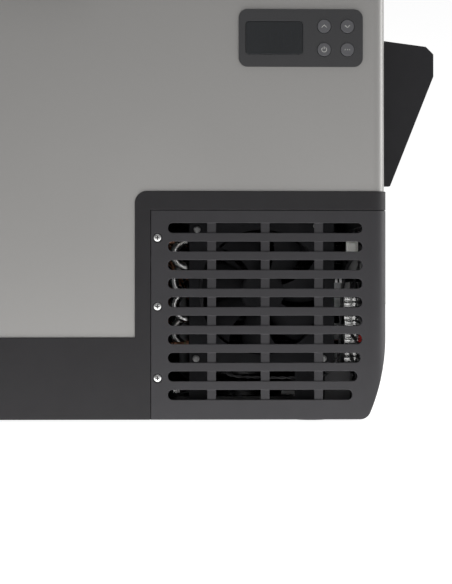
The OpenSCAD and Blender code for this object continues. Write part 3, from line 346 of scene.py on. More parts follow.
def plated(name, colour, roughness=0.24):
    """Zinc or nickel plating with small stains."""
    paint = Finish(name, colour, roughness, metallic=1.0)
    paint.vary_colour(paint.noise(260, 4), 0.8, 1.1)
    paint.vary_roughness(paint.noise(480, 4), roughness - 0.06, roughness + 0.12)
    paint.bump(paint.noise(2200, 2), 0.00001, 0.4)
    return paint.material


def rolled_sheet(name, colour, roughness=0.38, stretch=(1, 1, 30)):
    """Rolled metal sheet with a fine grain along one way."""
    paint = Finish(name, colour, roughness, metallic=1.0)
    paint.vary_colour(paint.cells(120), 0.88, 1.1)
    paint.vary_roughness(paint.noise(160, 3, stretch), roughness - 0.08, roughness + 0.1)
    paint.bump(paint.noise(400, 3, stretch), 0.00002, 0.5)
    return paint.material


def drawn_tube(name, colour, roughness=0.28, stain=(0.3, 0.16, 0.1), shade_from_x=None):
    """Drawn copper or aluminium tube with heat stains; beyond the X given in its last argument the tube is
    darkened to near black, painted shade for the coil in the dark behind the fan.
    """
    paint = Finish(name, colour, roughness, metallic=1.0)
    paint.vary_colour(paint.noise(60, 4), 0.8, 1.12)
    paint.mix_colour(paint.mask(paint.noise(25, 5), 0.58, 0.72), stain)
    # Painted shade: the coil beyond that X is made near black, standing for the dark behind the fan.
    if shade_from_x:
        split = paint.add("ShaderNodeSeparateXYZ")
        paint.link(paint.coords, split.inputs[0])
        paint.mix_colour(paint.mask(split.outputs[0], shade_from_x, shade_from_x + 0.002), (0.015, 0.015, 0.016))
    paint.vary_roughness(paint.noise(220, 4), roughness - 0.08, roughness + 0.14)
    paint.bump(paint.noise(900, 2), 0.00001, 0.5)
    return paint.material


def foamed(name, colour):
    """Cut polyurethane foam with open cells."""
    paint = Finish(name, colour, 0.9, specular=0.2)
    paint.vary_colour(paint.noise(60, 5), 0.82, 1.08)
    paint.bump(paint.cells(1400), 0.0004, 0.8)
    paint.bump(paint.noise(90, 5), 0.0015, 0.5)
    paint.set("Subsurface Weight", 0.1)
    paint.set("Subsurface Radius", (0.004, 0.003, 0.002))
    return paint.material


def rubbery(name, colour, roughness=0.72):
    paint = Finish(name, colour, roughness, specular=0.35)
    paint.vary_colour(paint.noise(35, 4), 0.85, 1.25)
    paint.vary_roughness(paint.noise(120, 3), roughness - 0.06, roughness + 0.1)
    paint.bump(paint.noise(1800, 3), 0.00005, 0.6)
    paint.edge_wear([c * 2.5 for c in colour], 0.4)
    return paint.material


def glossy(name, colour, roughness=0.16):
    """Smooth vacuum-formed or polished plastic."""
    paint = Finish(name, colour, roughness)
    paint.vary_colour(paint.noise(10, 4), 0.96, 1.03)
    paint.vary_roughness(paint.noise(40, 4), roughness, roughness + 0.1)
    paint.bump(paint.noise(70, 2), 0.00012, 0.25)
    paint.set("Coat Weight", 0.15)
    paint.set("Coat Roughness", 0.12)
    return paint.material


def insulated(name, colour):
    """Soft PVC on a wire."""
    paint = Finish(name, colour, 0.38)
    paint.vary_colour(paint.noise(80, 4), 0.8, 1.15)
    paint.vary_roughness(paint.noise(300, 3), 0.32, 0.5)
    paint.bump(paint.noise(1500, 2), 0.00003, 0.5)
    return paint.material


def solder_mask(name, colour):
    """Circuit board: copper traces under green lacquer."""
    paint = Finish(name, colour, 0.3)
    traces = paint.add("ShaderNodeTexBrick")
    traces.inputs["Scale"].default_value = 90
    paint.link(paint.coords, traces.inputs["Vector"])
    paint.base = paint.ramp(traces.outputs["Fac"], colour, [c * 1.8 for c in colour], 0.4, 0.6)
    paint.mix_colour(paint.mask(paint.cells(300), 0.5, 0.56), [c * 0.5 for c in colour])
    paint.bump(traces.outputs["Fac"], 0.00004, 0.6)
    paint.vary_roughness(paint.noise(200, 2), 0.22, 0.4)
    return paint.material


def tinted_glass(name, colour):
    paint = Finish(name, colour, 0.05)
    paint.set("Transmission Weight", 0.75)
    paint.set("IOR", 1.49)
    paint.vary_colour(paint.noise(30, 2), 0.9, 1.1)
    paint.vary_roughness(paint.noise(150, 4), 0.03, 0.1)
    paint.bump(paint.noise(60, 2), 0.00002, 0.2)
    return paint.material


def make_materials():
    """One finish for each material slot of the record, and a few for pieces inside a slot, some of them with
    painted light or shade.
    """
    return {
        "charcoal_plastic": moulded(
            "charcoal_plastic", (0.0142, 0.0135, 0.0146), 0.54, specular=0.2, edge=0.0009
        ),
        "steel_skin": lacquered("steel_skin", (0.236, 0.231, 0.223)),
        "plated_screw": plated("plated_screw", (0.62, 0.62, 0.61)),
        "galvanised_sheet": rolled_sheet("galvanised_sheet", (0.56, 0.57, 0.58)),
        "foam": foamed("foam", (0.88, 0.8, 0.56)),
        "liner_plastic": glossy("liner_plastic", (0.72, 0.74, 0.755), 0.22),
        "aluminium_plate": rolled_sheet("aluminium_plate", (0.76, 0.77, 0.78), 0.34, (30, 1, 1)),
        "rubber_black": rubbery("rubber_black", (0.018, 0.018, 0.019)),
        "handle_plastic": moulded("handle_plastic", (0.0085, 0.0082, 0.0098), 0.52, 3200, specular=0.25),
        "hinge_metal": enamelled("hinge_metal", (0.03, 0.03, 0.032), 0.42),
        "spring_steel": drawn_tube("spring_steel", (0.55, 0.55, 0.57), 0.22, (0.3, 0.27, 0.22)),
        "black_plastic": moulded("black_plastic", (0.014, 0.014, 0.0155), 0.34, 3000, 0.00002),
        "display_glass": tinted_glass("display_glass", (0.03, 0.035, 0.04)),
        "button_plastic": moulded("button_plastic", (0.06, 0.06, 0.065), 0.4, 3000),
        "circuit_board": solder_mask("circuit_board", (0.02, 0.15, 0.06)),
        "black_enamel": enamelled("black_enamel", (0.010, 0.010, 0.011)),
        # The condenser coil is darkened beyond X 131 mm: painted shade behind the fan.
        "tube_metal": drawn_tube("tube_metal", (0.66, 0.66, 0.65), 0.3, (0.35, 0.33, 0.3), 0.131),
        "dull_screw": plated("dull_screw", (0.2, 0.2, 0.2), 0.42),
        "copper": drawn_tube("copper", (0.72, 0.38, 0.24)),
        "wire_insulation": insulated("wire_red", (0.5, 0.02, 0.015)),
        "light_plastic": glossy("light_plastic", (0.66, 0.66, 0.62), 0.3),
        "coated_wire": glossy("coated_wire", (0.78, 0.78, 0.77), 0.24),
        # Painted light: a lighter copy of the charcoal plastic for the compressor cover, standing for the
        # extra light that falls on it.
        "charcoal_lit_copy": moulded("charcoal_lit_copy", (0.0205, 0.0196, 0.0218), 0.5, specular=0.28, edge=0.0009),
        "braze": drawn_tube("braze", (0.72, 0.6, 0.36), 0.36),
        "wire_black": insulated("wire_black", (0.015, 0.015, 0.016)),
        "wire_white": insulated("wire_white", (0.6, 0.6, 0.57)),
        "wire_blue": insulated("wire_blue", (0.03, 0.1, 0.4)),
        "fan_plastic": flat_black("fan_plastic", (0.0125, 0.0125, 0.0138)),
        # Painted shade: the aluminium condenser fins in near black, for the dark inside the bay.
        "fins_painted_shade": flat_black("fins_painted_shade", (0.008, 0.008, 0.009)),
        "bracket_paint": enamelled("bracket_paint", (0.034, 0.033, 0.036), 0.55),
        # Painted shade: a dark rubber colour for the cover screws' cross recesses.
        "recess_painted_shade": rubbery("recess_painted_shade", (0.03, 0.03, 0.032), 0.6),
        "segment_grey": moulded("segment_grey", (0.09, 0.1, 0.1), 0.6),
    }


# ---------------------------------------------------------------- pieces


def place(name, mesh, body, slot, materials, stands_for=()):
    """Adds a finished mesh to the scene as a piece of the object."""
    piece = bpy.data.objects.new(name, mesh)
    bpy.context.scene.collection.objects.link(piece)
    # Clearing the materials also clears the faces' indices, so they are kept aside.
    indices = [polygon.material_index for polygon in mesh.polygons]
    mesh.materials.clear()
    for material in materials:
        mesh.materials.append(material)
    mesh.polygons.foreach_set("material_index", indices)
    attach(piece, body)
    if stands_for:
        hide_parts(*stands_for)
    return piece


def soften(mesh, angle):
    """Smooth shading except over edges sharper than the angle."""
    for polygon in mesh.polygons:
        polygon.use_smooth = True
    mesh.set_sharp_from_angle(angle=math.radians(angle))


# Their shortest edges are finer than the bevel, which would otherwise be clamped to nothing.
FREE_BEVEL = ("compressor_cover", "base_tray")


def refined(node, slot, materials, radius, segments=2, sharp=32, pick=None):
    """A copy of a CAD node's mesh with its sharp edges rounded, standing for that node."""
    mesh = NODES[node].data.copy()
    mesh.name = node + "_refined"
    work = bmesh.new()
    work.from_mesh(mesh)
    bmesh.ops.remove_doubles(work, verts=work.verts, dist=2e-6)
    bmesh.ops.dissolve_limit(
        work, angle_limit=math.radians(0.6), verts=work.verts, edges=work.edges, delimit=set()
    )
    edge_layer = work.verts.layers.float.new("edge")
    sharp_edges = [
        e for e in work.edges if e.is_manifold and e.calc_face_angle(0) > math.radians(sharp)
    ]
    if radius and sharp_edges:
        rounded = bmesh.ops.bevel(
            work, geom=sharp_edges, offset=radius, offset_type="OFFSET", segments=segments,
            profile=0.5, affect="EDGES", clamp_overlap=node not in FREE_BEVEL,
        )
        new_faces = set(rounded["faces"])
        for v in rounded["verts"]:
            v[edge_layer] = float(all(f in new_faces for f in v.link_faces))
    if pick:
        for f in work.faces:
            f.material_index = pick(f.calc_center_median())
    work.to_mesh(mesh)
    work.free()
    soften(mesh, sharp)
    piece = place(node + "_shape", mesh, BODY_OF[node], slot, materials, [node])
    weighted = piece.modifiers.new("even_shading", "WEIGHTED_NORMAL")
    weighted.keep_sharp = True
    weighted.weight = 90
    return piece


def profile_mm(points):
    """A profile of (radius, height) points given in millimetres."""
    return [(r * MM, h * MM) for r, h in points]


class Shape:
    """Collects swept tubes, turned profiles and rounded blocks into one mesh."""

    def __init__(self):
        self.points = []
        self.faces = []
        self.finishes = []

    def add(self, points, faces, finish=0):
        base = len(self.points)
        self.points += [tuple(p) for p in points]
        self.faces += [[base + i for i in face] for face in faces]
        self.finishes += [finish] * len(faces)

    def lofted(self, rings, finish=0, closed=False):
        """Skins a list of rings with equal point counts; the ends are capped unless it closes on itself."""
        sides = len(rings[0])
        count = len(rings)
        faces = []
        for i in range(count if closed else count - 1):
            for k in range(sides):
                a, b = i * sides + k, i * sides + (k + 1) % sides
                c, d = ((i + 1) % count) * sides + (k + 1) % sides, ((i + 1) % count) * sides + k
                faces.append([a, b, c, d])
        if not closed:
            faces.append(list(range(sides))[::-1])
            faces.append([(count - 1) * sides + k for k in range(sides)])
        self.add([p for ring in rings for p in ring], faces, finish)

    def tube(self, route, radius, sides=12, closed=False, finish=0):
        """A round tube along a route, its frame carried along without twisting."""
        count = len(route)
        after = [route[(i + 1) % count] if closed else route[min(i + 1, count - 1)] for i in range(count)]
        before = [route[i - 1] if closed else route[max(i - 1, 0)] for i in range(count)]
        along = [(a - b).normalized() for a, b in zip(after, before)]
        side = along[0].orthogonal().normalized()
        rings = []
        for point, forward in zip(route, along):
            side = (side - forward * side.dot(forward)).normalized()
            other = forward.cross(side)
            turns = [2 * math.pi * k / sides for k in range(sides)]
            rings.append([point + radius * (side * math.cos(t) + other * math.sin(t)) for t in turns])
        self.lofted(rings, finish, closed)

    def turned(self, profile, centre, axis, segments=28, finish=0):
        """A profile of (radius, height) points turned round an axis through centre."""
        axis = Vector(axis).normalized()
        side = axis.orthogonal().normalized()
        other = axis.cross(side)
        turns = [2 * math.pi * k / segments for k in range(segments)]
        rings = [
            [Vector(centre) + axis * h + r * (side * math.cos(t) + other * math.sin(t)) for t in turns]
            for r, h in profile
        ]
        self.lofted(rings, finish)

    def block(self, low, high, rounding, finish=0):
        """A box between two corners with rounded edges."""
        work = bmesh.new()
        size = Vector(high) - Vector(low)
        middle = (Vector(high) + Vector(low)) / 2
        bmesh.ops.create_cube(work, size=1, matrix=Matrix.Translation(middle) @ Matrix.Diagonal((*size, 1)))
        bmesh.ops.bevel(
            work, geom=work.edges[:], offset=rounding, segments=2, profile=0.5, affect="EDGES"
        )
        work.verts.index_update()
        self.add([v.co for v in work.verts], [[v.index for v in f.verts] for f in work.faces], finish)
        work.free()

    def piece(self, name, body, slot, materials, stands_for=(), sharp=35):
        mesh = bpy.data.meshes.new(name)
        mesh.from_pydata(self.points, [], self.faces)
        for polygon, finish in zip(mesh.polygons, self.finishes):
            polygon.material_index = finish
        work = bmesh.new()
        work.from_mesh(mesh)
        bmesh.ops.recalc_face_normals(work, faces=work.faces)
        work.to_mesh(mesh)
        work.free()
        soften(mesh, sharp)
        return place(name, mesh, body, slot, materials, stands_for)


def spline(points, steps):
    """A smooth route through the points, as in the CAD source."""
    route = []
    for i in range(len(points) - 1):
        a, b = points[max(i - 1, 0)], points[i]
        c, d = points[i + 1], points[min(i + 2, len(points) - 1)]
        for j in range(steps):
            t = j / steps
            route.append(
                0.5 * (2 * b + (c - a) * t + (2 * a - 5 * b + 4 * c - d) * t * t
                       + (3 * b - 3 * c + d - a) * t ** 3)
            )
    return route + [points[-1]]


def arc(centre, start, side, turn, steps):
    """Points round centre: from start, turning towards side by turn radians."""
    return [
        centre + start * math.cos(turn * k / steps) + side * math.sin(turn * k / steps)
        for k in range(steps + 1)
    ]


def rounded_loop(low, high, radius, level, steps=6):
    """A closed level rounded rectangle between two corners."""
    route = []
    corners = [
        (high.x - radius, high.y - radius, 0), (low.x + radius, high.y - radius, 90),
        (low.x + radius, low.y + radius, 180), (high.x - radius, low.y + radius, 270),
    ]
    for x, y, turn in corners:
        for k in range(steps + 1):
            angle = math.radians(turn + 90 * k / steps)
            route.append(Vector((x + radius * math.cos(angle), y + radius * math.sin(angle), level)))
    return route


# ---------------------------------------------------------------- basket and gasket

BASKET_BAYS_X = 10
BASKET_BAYS_Y = 9
BASKET_LEVELS = 5
RIM_R = 1.5 * MM
WIRE_R = 1.1 * MM
BEND_R = 9 * MM
FLOOR_RISE = 17.7 * MM
LEG_H = 20 * MM
LEG_TIP = 0.4 * MM
LEG_INSET = 16 * MM
DIVIDER_STAGGER = 0.5 * MM


def u_wire(shape, low, high, along_x, at):
    """A wire that runs down one wall, across the floor and up the other wall."""
    inset = RIM_R * 2 - WIRE_R * 0.6
    a = (low.x if along_x else low.y) + inset
    b = (high.x if along_x else high.y) - inset
    bottom = low.z + WIRE_R + (WIRE_R * 1.6 if along_x else 0)
    quarter = math.pi / 2
    left, right, down = Vector((-BEND_R, 0)), Vector((BEND_R, 0)), Vector((0, -BEND_R))
    flat = [Vector((a, high.z)), Vector((a, bottom + BEND_R))]
    flat += arc(Vector((a + BEND_R, bottom + BEND_R)), left, down, quarter, 5)[1:]
    flat += arc(Vector((b - BEND_R, bottom + BEND_R)), down, right, quarter, 5)
    flat += [Vector((b, high.z))]
    route = [Vector((p.x, at, p.y)) if along_x else Vector((at, p.x, p.y)) for p in flat]
    shape.tube(route, WIRE_R, 8)


def make_basket(materials):
    """Rim, hoops and U-shaped wires on four legs."""
    low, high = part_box("wire_basket")
    foot_z = low.z
    low = Vector((low.x, low.y, foot_z + FLOOR_RISE))
    shape = Shape()
    top = high.z - RIM_R
    rim_inset, wire_inset = Vector((RIM_R, RIM_R, 0)), Vector((WIRE_R, WIRE_R, 0))
    shape.tube(rounded_loop(low + rim_inset, high - rim_inset, BEND_R, top, 8), RIM_R, 12, closed=True)
    for level in range(1, BASKET_LEVELS):
        z = low.z + level * (high.z - low.z) / BASKET_LEVELS
        shape.tube(rounded_loop(low + wire_inset, high - wire_inset, BEND_R, z), WIRE_R, 8, closed=True)
    wall_top = Vector((high.x, high.y, top))
    for i in range(1, BASKET_BAYS_X):
        u_wire(shape, low, wall_top, False, low.x + i * (high.x - low.x) / BASKET_BAYS_X)
    for i in range(1, BASKET_BAYS_Y):
        u_wire(shape, low, wall_top, True, low.y + i * (high.y - low.y) / BASKET_BAYS_Y)
    leg = [(0, 0), (WIRE_R, LEG_TIP), (WIRE_R, LEG_H), (0, LEG_H + LEG_TIP)]
    for x in (low.x + LEG_INSET, high.x - LEG_INSET):
        for y in (low.y + RIM_R, high.y - RIM_R):
            shape.turned(leg, (x, y, foot_z), (0, 0, 1), 10)
    shape.piece("wire_basket_round", "basket", "coated_wire", [materials["coated_wire"]], ["wire_basket"])


def make_divider(materials):
    """A grille in a frame: upright wires behind, level ones before."""
    low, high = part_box("basket_divider")
    x = (low.x + high.x) / 2
    left, right = low.y + RIM_R, high.y - RIM_R
    bottom, top = low.z + RIM_R, high.z - RIM_R
    shape = Shape()
    outline = rounded_loop(Vector((left, bottom, 0)), Vector((right, top, 0)), BEND_R, 0, 6)
    shape.tube([Vector((x, p.x, p.y)) for p in outline], RIM_R, 10, closed=True)
    behind, before = x + DIVIDER_STAGGER, x - DIVIDER_STAGGER
    for i in range(1, BASKET_BAYS_Y):
        y = low.y + i * (high.y - low.y) / BASKET_BAYS_Y
        shape.tube([Vector((behind, y, bottom)), Vector((behind, y, top))], WIRE_R * 0.9, 8)
    for i in range(1, BASKET_LEVELS):
        z = low.z + i * (high.z - low.z) / BASKET_LEVELS
        shape.tube([Vector((before, left, z)), Vector((before, right, z))], WIRE_R * 0.9, 8)
    shape.piece("divider_round", "basket", "coated_wire", [materials["coated_wire"]], ["basket_divider"])


def make_gasket(materials):
    """A soft two-lobed seal round the lid's plug."""
    low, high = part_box("lid_gasket")
    width = 10 * MM
    outer_corner = 40 * MM
    height = high.z - low.z
    profile = [
        (0.0, 0.99), (0.05, 0.55), (0.14, 0.25), (0.24, 0.08), (0.34, 0.0), (0.44, 0.10), (0.5, 0.42),
        (0.56, 0.10), (0.66, 0.0), (0.76, 0.08), (0.86, 0.25), (0.95, 0.55), (1.0, 0.99),
    ]
    loops = []
    for across, up in profile:
        inset = across * width
        shrink = Vector((inset, inset, 0))
        level = low.z + up * height
        loops.append(rounded_loop(low + shrink, high - shrink, outer_corner - inset, level, 10))
    rings = [list(ring) for ring in zip(*loops)]
    shape = Shape()
    shape.lofted(rings, closed=True)
    shape.piece("lid_gasket_lobed", "lid", "rubber_black", [materials["rubber_black"]], ["lid_gasket"], 60)


# ---------------------------------------------------------------- handles


def make_grips(materials):
    """Ribbed soft sleeves on the handle bars."""
    low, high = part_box("handle_grips")
    half_t = 10 * MM
    half_h = (high.z - low.z) / 2
    corner = 8.5 * MM
    rib_pitch = 4 * MM
    rib_depth = 0.5 * MM
    ribbed = 0.8 * high.y
    steps = int(round((high.y - low.y) / (rib_pitch / 6)))
    shape = Shape()
    for side in (-1, 1):
        centre = Vector((side * (high.x - half_t), 0, (low.z + high.z) / 2))
        rings = []
        for k in range(steps + 1):
            y = low.y + (high.y - low.y) * k / steps
            groove = rib_depth * (0.5 - 0.5 * math.cos(2 * math.pi * y / rib_pitch)) if abs(y) < ribbed else 0
            end = 1.2 * MM * max(0.0, 1 - (high.y - abs(y)) / (2.5 * MM)) ** 2
            inset = groove + end
            loop = rounded_loop(
                Vector((-half_t + inset, -half_h + inset, 0)), Vector((half_t - inset, half_h - inset, 0)),
                corner - inset, 0, 5,
            )
            rings.append([centre + Vector((p.x, y, p.y)) for p in loop])
        shape.lofted(rings)
    shape.piece("grips_ribbed", "cabinet", "rubber_black", [materials["rubber_black"]], ["handle_grips"], 50)


# ---------------------------------------------------------------- compressor bay


COIL_R = 4 * MM


def coil_route():
    """Centre line of the condenser's tube: ten straights joined by half turns."""
    low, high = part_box("condenser_tube")
    rows, pitch = 5, 24 * MM
    y_front, y_back = low.y + COIL_R, high.y - COIL_R
    z0 = low.z + COIL_R
    fan_x = (low.x + high.x) / 2
    half = 66 * MM
    centres = []
    for i in range(rows):
        ys = (y_front, y_back) if i % 2 == 0 else (y_back, y_front)
        centres += [Vector((ys[0], z0 + i * pitch)), Vector((ys[1], z0 + i * pitch))]
    route = []
    for i, c in enumerate(centres):
        way = 1 if i % 2 == 0 else -1
        start, end = fan_x - way * half, fan_x + way * half
        route += [Vector((start + (end - start) * k / 4, c.x, c.y)) for k in range(5)]
        if i + 1 < len(centres):
            n = centres[i + 1]
            middle = (c + n) / 2
            spread = (c - n) / 2
            for k in range(1, 9):
                turn = math.pi * k / 9
                flat = middle + spread * math.cos(turn)
                route.append(Vector((end + way * spread.length * math.sin(turn), flat.x, flat.y)))
    return route


def make_condenser_tube(materials):
    """The coil with copper sleeves on both ends."""
    shape = Shape()
    route = coil_route()
    shape.tube(route, COIL_R, 16)
    sleeve = [(0, -5), (4.6, -5), (4.8, -3), (4.6, 1), (0, 1)]
    for end in (route[0], route[-1]):
        shape.turned(profile_mm(sleeve), end, (-1, 0, 0), 16, 1)
    shape.piece(
        "condenser_tube_round", "cabinet", "tube_metal", [materials["tube_metal"], materials["copper"]],
        ["condenser_tube"],
    )


def make_condenser_fins(materials):
    """A pack of slightly wavy fins, their front edges a little bent."""
    low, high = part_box("condenser_fins")
    pitch, thick, wave = 2.05 * MM, 0.22 * MM, 0.35 * MM
    steps = 14
    count = int((high.x - low.x) / pitch)
    draw = random.Random(SEED)
    shape = Shape()
    for i in range(count + 1):
        x = low.x + thick + i * pitch
        bent = draw.uniform(-0.25, 0.25) * MM
        rings = []
        for k in range(steps + 1):
            y = low.y + (high.y - low.y) * k / steps
            shift = wave * math.sin(k * math.pi / 2) * 0.6 + bent * (1 - k / steps) ** 3
            rings.append([
                Vector((x + shift, y, low.z)), Vector((x + shift + thick, y, low.z)),
                Vector((x + shift + thick, y, high.z)), Vector((x + shift, y, high.z)),
            ])
        shape.lofted(rings)
    # The fins take the near-black painted shade instead of an aluminium finish.
    shape.piece("condenser_fin_pack", "cabinet", "aluminium_plate", [materials["fins_painted_shade"]],
                ["condenser_fins"], 60)


def make_fan_rotor(materials):
    """Seven swept blades with a twist, on a hub with a rounded cap."""
    low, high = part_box("fan_rotor")
    centre = Vector(((low.x + high.x) / 2, 0, (low.z + high.z) / 2))
    hub_r, tip_r = 20 * MM, 55.3 * MM
    front, back = low.y + 0.3 * MM, high.y - 0.3 * MM
    depth = back - front
    blades, radial_steps, chord_steps = 7, 10, 8
    hub = [
        (0, 0.6 * MM), (hub_r * 0.55, 0.5 * MM), (hub_r * 0.8, 0.2 * MM), (hub_r * 0.93, 0.9 * MM),
        (hub_r, 2.6 * MM), (hub_r, depth), (hub_r * 0.9, depth + 0.2 * MM),
        (hub_r * 0.88, depth - 6 * MM), (0, depth - 6 * MM),
    ]
    shape = Shape()
    shape.turned(hub, centre + Vector((0, front, 0)), (0, 1, 0), 40)
    for b in range(blades):
        rings = []
        for i in range(radial_steps + 1):
            t = i / radial_steps
            r = hub_r * 0.97 + (tip_r - hub_r * 0.97) * t
            span = math.radians(40 - 6 * t)
            sweep = math.radians(360 * b / blades) + math.radians(14) * t * t
            thick = (1.9 - 0.9 * t) * MM
            upper, lower = [], []
            for k in range(chord_steps + 1):
                u = k / chord_steps
                angle = sweep + span * (u - 0.5)
                camber = math.sin(math.pi * u) * 1.6 * MM
                y = front + 1.2 * MM + (depth - 2.4 * MM) * (1 - u) - camber
                half = thick * (0.25 + math.sin(math.pi * min(1.0, u + 0.08))) / 2
                radial = Vector((math.cos(angle), 0, math.sin(angle))) * r
                upper.append(centre + radial + Vector((0, max(low.y, y - half), 0)))
                lower.append(centre + radial + Vector((0, min(high.y, y + half), 0)))
            rings.append(upper + lower[::-1])
        shape.lofted(rings)
    shape.piece("fan_rotor_bladed", "fan", "black_plastic", [materials["fan_plastic"]], ["fan_rotor"], 50)


DRIER_X, DRIER_Y = 112, 20
# Each pipe's radius and the points of its route, in millimetres as in the CAD source.
PIPE_ROUTES = {
    "discharge": (3, [(190, -28, 56), (190, -38, 56), (180, -56, 62), (160, -66, 84), (130, -72, 120),
                      (108, -84, 150), (106, -100, 162), (118, -108, 164), (127.5, -108, 164),
                      (133.5, -108, 164)]),
    "liquid": (3, [(133.5, -128, 68), (127.5, -128, 68), (116, -128, 67), (108, -118, 60), (106, -90, 50),
                   (108, -40, 42), (112, 0, 40), (DRIER_X, DRIER_Y - 2, 44), (DRIER_X, DRIER_Y, 53),
                   (DRIER_X, DRIER_Y, 60)]),
    "suction": (4, [(149.2, 94.4, 114), (143.2, 102.4, 114), (128, 112, 130), (118, 108, 160), (112, 98, 171),
                    (101.5, 96, 172), (93.5, 96, 172)]),
    "capillary": (1.2, [(DRIER_X, DRIER_Y, 164), (DRIER_X, DRIER_Y, 174), (108, 32, 183), (104, 60, 180),
                        (98.5, 72, 176), (93.5, 72, 176)]),
}


def make_pipes(materials):
    """Copper pipes with brazed collars at both ends."""
    shape = Shape()
    for radius, points in PIPE_ROUTES.values():
        route = spline([mm(*p) for p in points], 8)
        shape.tube(route, radius * MM, 14)
        collar = [
            (0, -2), (radius + 0.9, -2), (radius + 1.3, 0), (radius + 0.8, 2), (radius + 0.1, 4), (0, 4),
        ]
        for end, inner in ((route[0], route[2]), (route[-1], route[-3])):
            shape.turned(profile_mm(collar), end, inner - end, 14, 1)
    shape.piece("refrigerant_pipes", "cabinet", "copper", [materials["copper"], materials["braze"]],
                ["refrigerant_lines"])


def make_drier(materials):
    """The filter drier, spun down to a pipe at both ends."""
    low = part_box("filter_drier")[0]
    centre = (DRIER_X * MM, DRIER_Y * MM, low.z)
    body = [
        (0, 0), (3, 0), (3, 13), (3.6, 14), (5, 19), (8.2, 24), (9, 27),
        (9, 78), (8.2, 82), (5, 87), (3.6, 90), (3, 91), (3, 104), (0, 104),
    ]
    shape = Shape()
    shape.turned(profile_mm(body), centre, (0, 0, 1), 32)
    shape.piece("filter_drier_spun", "cabinet", "copper", [materials["copper"]], ["filter_drier"])


# Routes in millimetres, as in the CAD source: two leads from the drive to the DC inlet, one to the AC
# inlet, one to the compressor, the fan's up to its plug, and from the plug to the drive.
WIRE_ROUTES = [
    [(281, -161.5, 60), (283, -166, 54), (286, -165, 42), (287, -154, 32), (288, -120, 30), (288, -50, 30),
     (288, 20, 32), (287, 56, 44), (283, 62, 90), (283, 65, 116), (291.5, 65, 118)],
    [(281, -161.5, 80), (286, -169, 71), (291, -168, 52), (292, -156, 36), (293, -120, 34), (293, -50, 34),
     (293, 20, 36), (291, 62, 46), (285, 72, 90), (284, 73, 120), (291.5, 73, 121)],
    [(281, -161.5, 104), (290, -169, 92), (297, -167, 60), (297, -163, 42), (297, -140, 38), (297, -50, 39),
     (297, 20, 39), (296, 56, 44), (292, 90, 76), (284, 118, 108), (284, 122, 119), (291.5, 123, 120)],
    [(282, -58, 70), (276, -58, 70), (262, -48, 72), (257, -20, 80), (256, 9, 82), (256, 16, 82)],
    [(165, -158, 57), (165, -160, 49), (172, -164, 41), (200, -165, 39), (235, -165, 39), (258, -166, 42),
     (270, -166, 60), (272, -165, 100), (277, -163, 136), (282, -162, 145), (282, -162, 151)],
    [(284, -162, 165), (286, -161, 173), (291, -155, 170), (290, -150, 142), (284, -150, 122),
     (283, -150, 114)],
]
RED, BLACK, WHITE, BLUE = range(4)
WIRE_STRANDS = [[BLACK], [BLACK], [BLACK], [RED, WHITE, BLUE], [BLACK, BLACK], [BLACK, BLACK]]
WIRE_TIE_Y = [-140, -95, -45, 5]
TIE_LOW, TIE_HIGH = mm(285.8, 28.0, 0), mm(299.0, 41.0, 0)
TIE_FINISH = 4


def twisted(route, strand, strands, offset, pitch):
    """One strand wound round a route."""
    wound, travelled = [], 0.0
    side = (route[1] - route[0]).normalized().orthogonal().normalized()
    for i, point in enumerate(route):
        forward = (route[min(i + 1, len(route) - 1)] - route[max(i - 1, 0)]).normalized()
        side = (side - forward * side.dot(forward)).normalized()
        travelled += (point - route[i - 1]).length if i else 0
        turn = 2 * math.pi * (travelled / pitch + strand / strands)
        wound.append(point + offset * (side * math.cos(turn) + forward.cross(side) * math.sin(turn)))
    return wound


def make_wires(materials):
    """Single leads and twisted ones, held together by cable ties along the bay's wall."""
    shape = Shape()
    for points, strands in zip(WIRE_ROUTES, WIRE_STRANDS):
        if len(strands) == 1:
            shape.tube(spline([mm(*p) for p in points], 8), 1.45 * MM, 12, finish=strands[0])
            continue
        route = spline([mm(*p) for p in points], 24)
        for k, colour in enumerate(strands):
            shape.tube(twisted(route, k, len(strands), 0.75 * MM, 16 * MM), 0.7 * MM, 8, finish=colour)
    for y in WIRE_TIE_Y:
        loop = rounded_loop(TIE_LOW, TIE_HIGH, 3 * MM, 0, 4)
        shape.tube([Vector((p.x, y * MM, p.y)) for p in loop], 0.7 * MM, 8, closed=True, finish=TIE_FINISH)
    finishes = ("wire_insulation", "wire_black", "wire_white", "wire_blue", "black_plastic")
    colours = [materials[name] for name in finishes]
    shape.piece("wires", "cabinet", "wire_insulation", colours, ["wiring_harness"])


METAL, RED_SLEEVE, BLACK_SLEEVE = range(3)
TERMINAL_X, TERMINAL_FACE_Y = 276, -160
# The height of each terminal in millimetres, and its sleeve.
TERMINALS = [
    (110.2, BLACK_SLEEVE), (105.6, BLACK_SLEEVE), (93.4, BLACK_SLEEVE), (88.6, BLACK_SLEEVE),
    (77.0, RED_SLEEVE), (72.2, RED_SLEEVE), (60.2, BLACK_SLEEVE), (55.8, BLACK_SLEEVE),
]
CRIMP = [(0, 7), (1.0, 7), (1.7, 8), (1.7, 11), (1.3, 11.6), (1.7, 12.2), (1.6, 14), (0, 14)]
SLEEVE = [(0, 12.4), (2.0, 12.4), (2.2, 13.2), (2.2, 16.4), (1.5, 17.4), (0, 17.4)]
STUD = [(0, 0), (1.6, 0), (1.6, 1.8), (0, 1.8)]


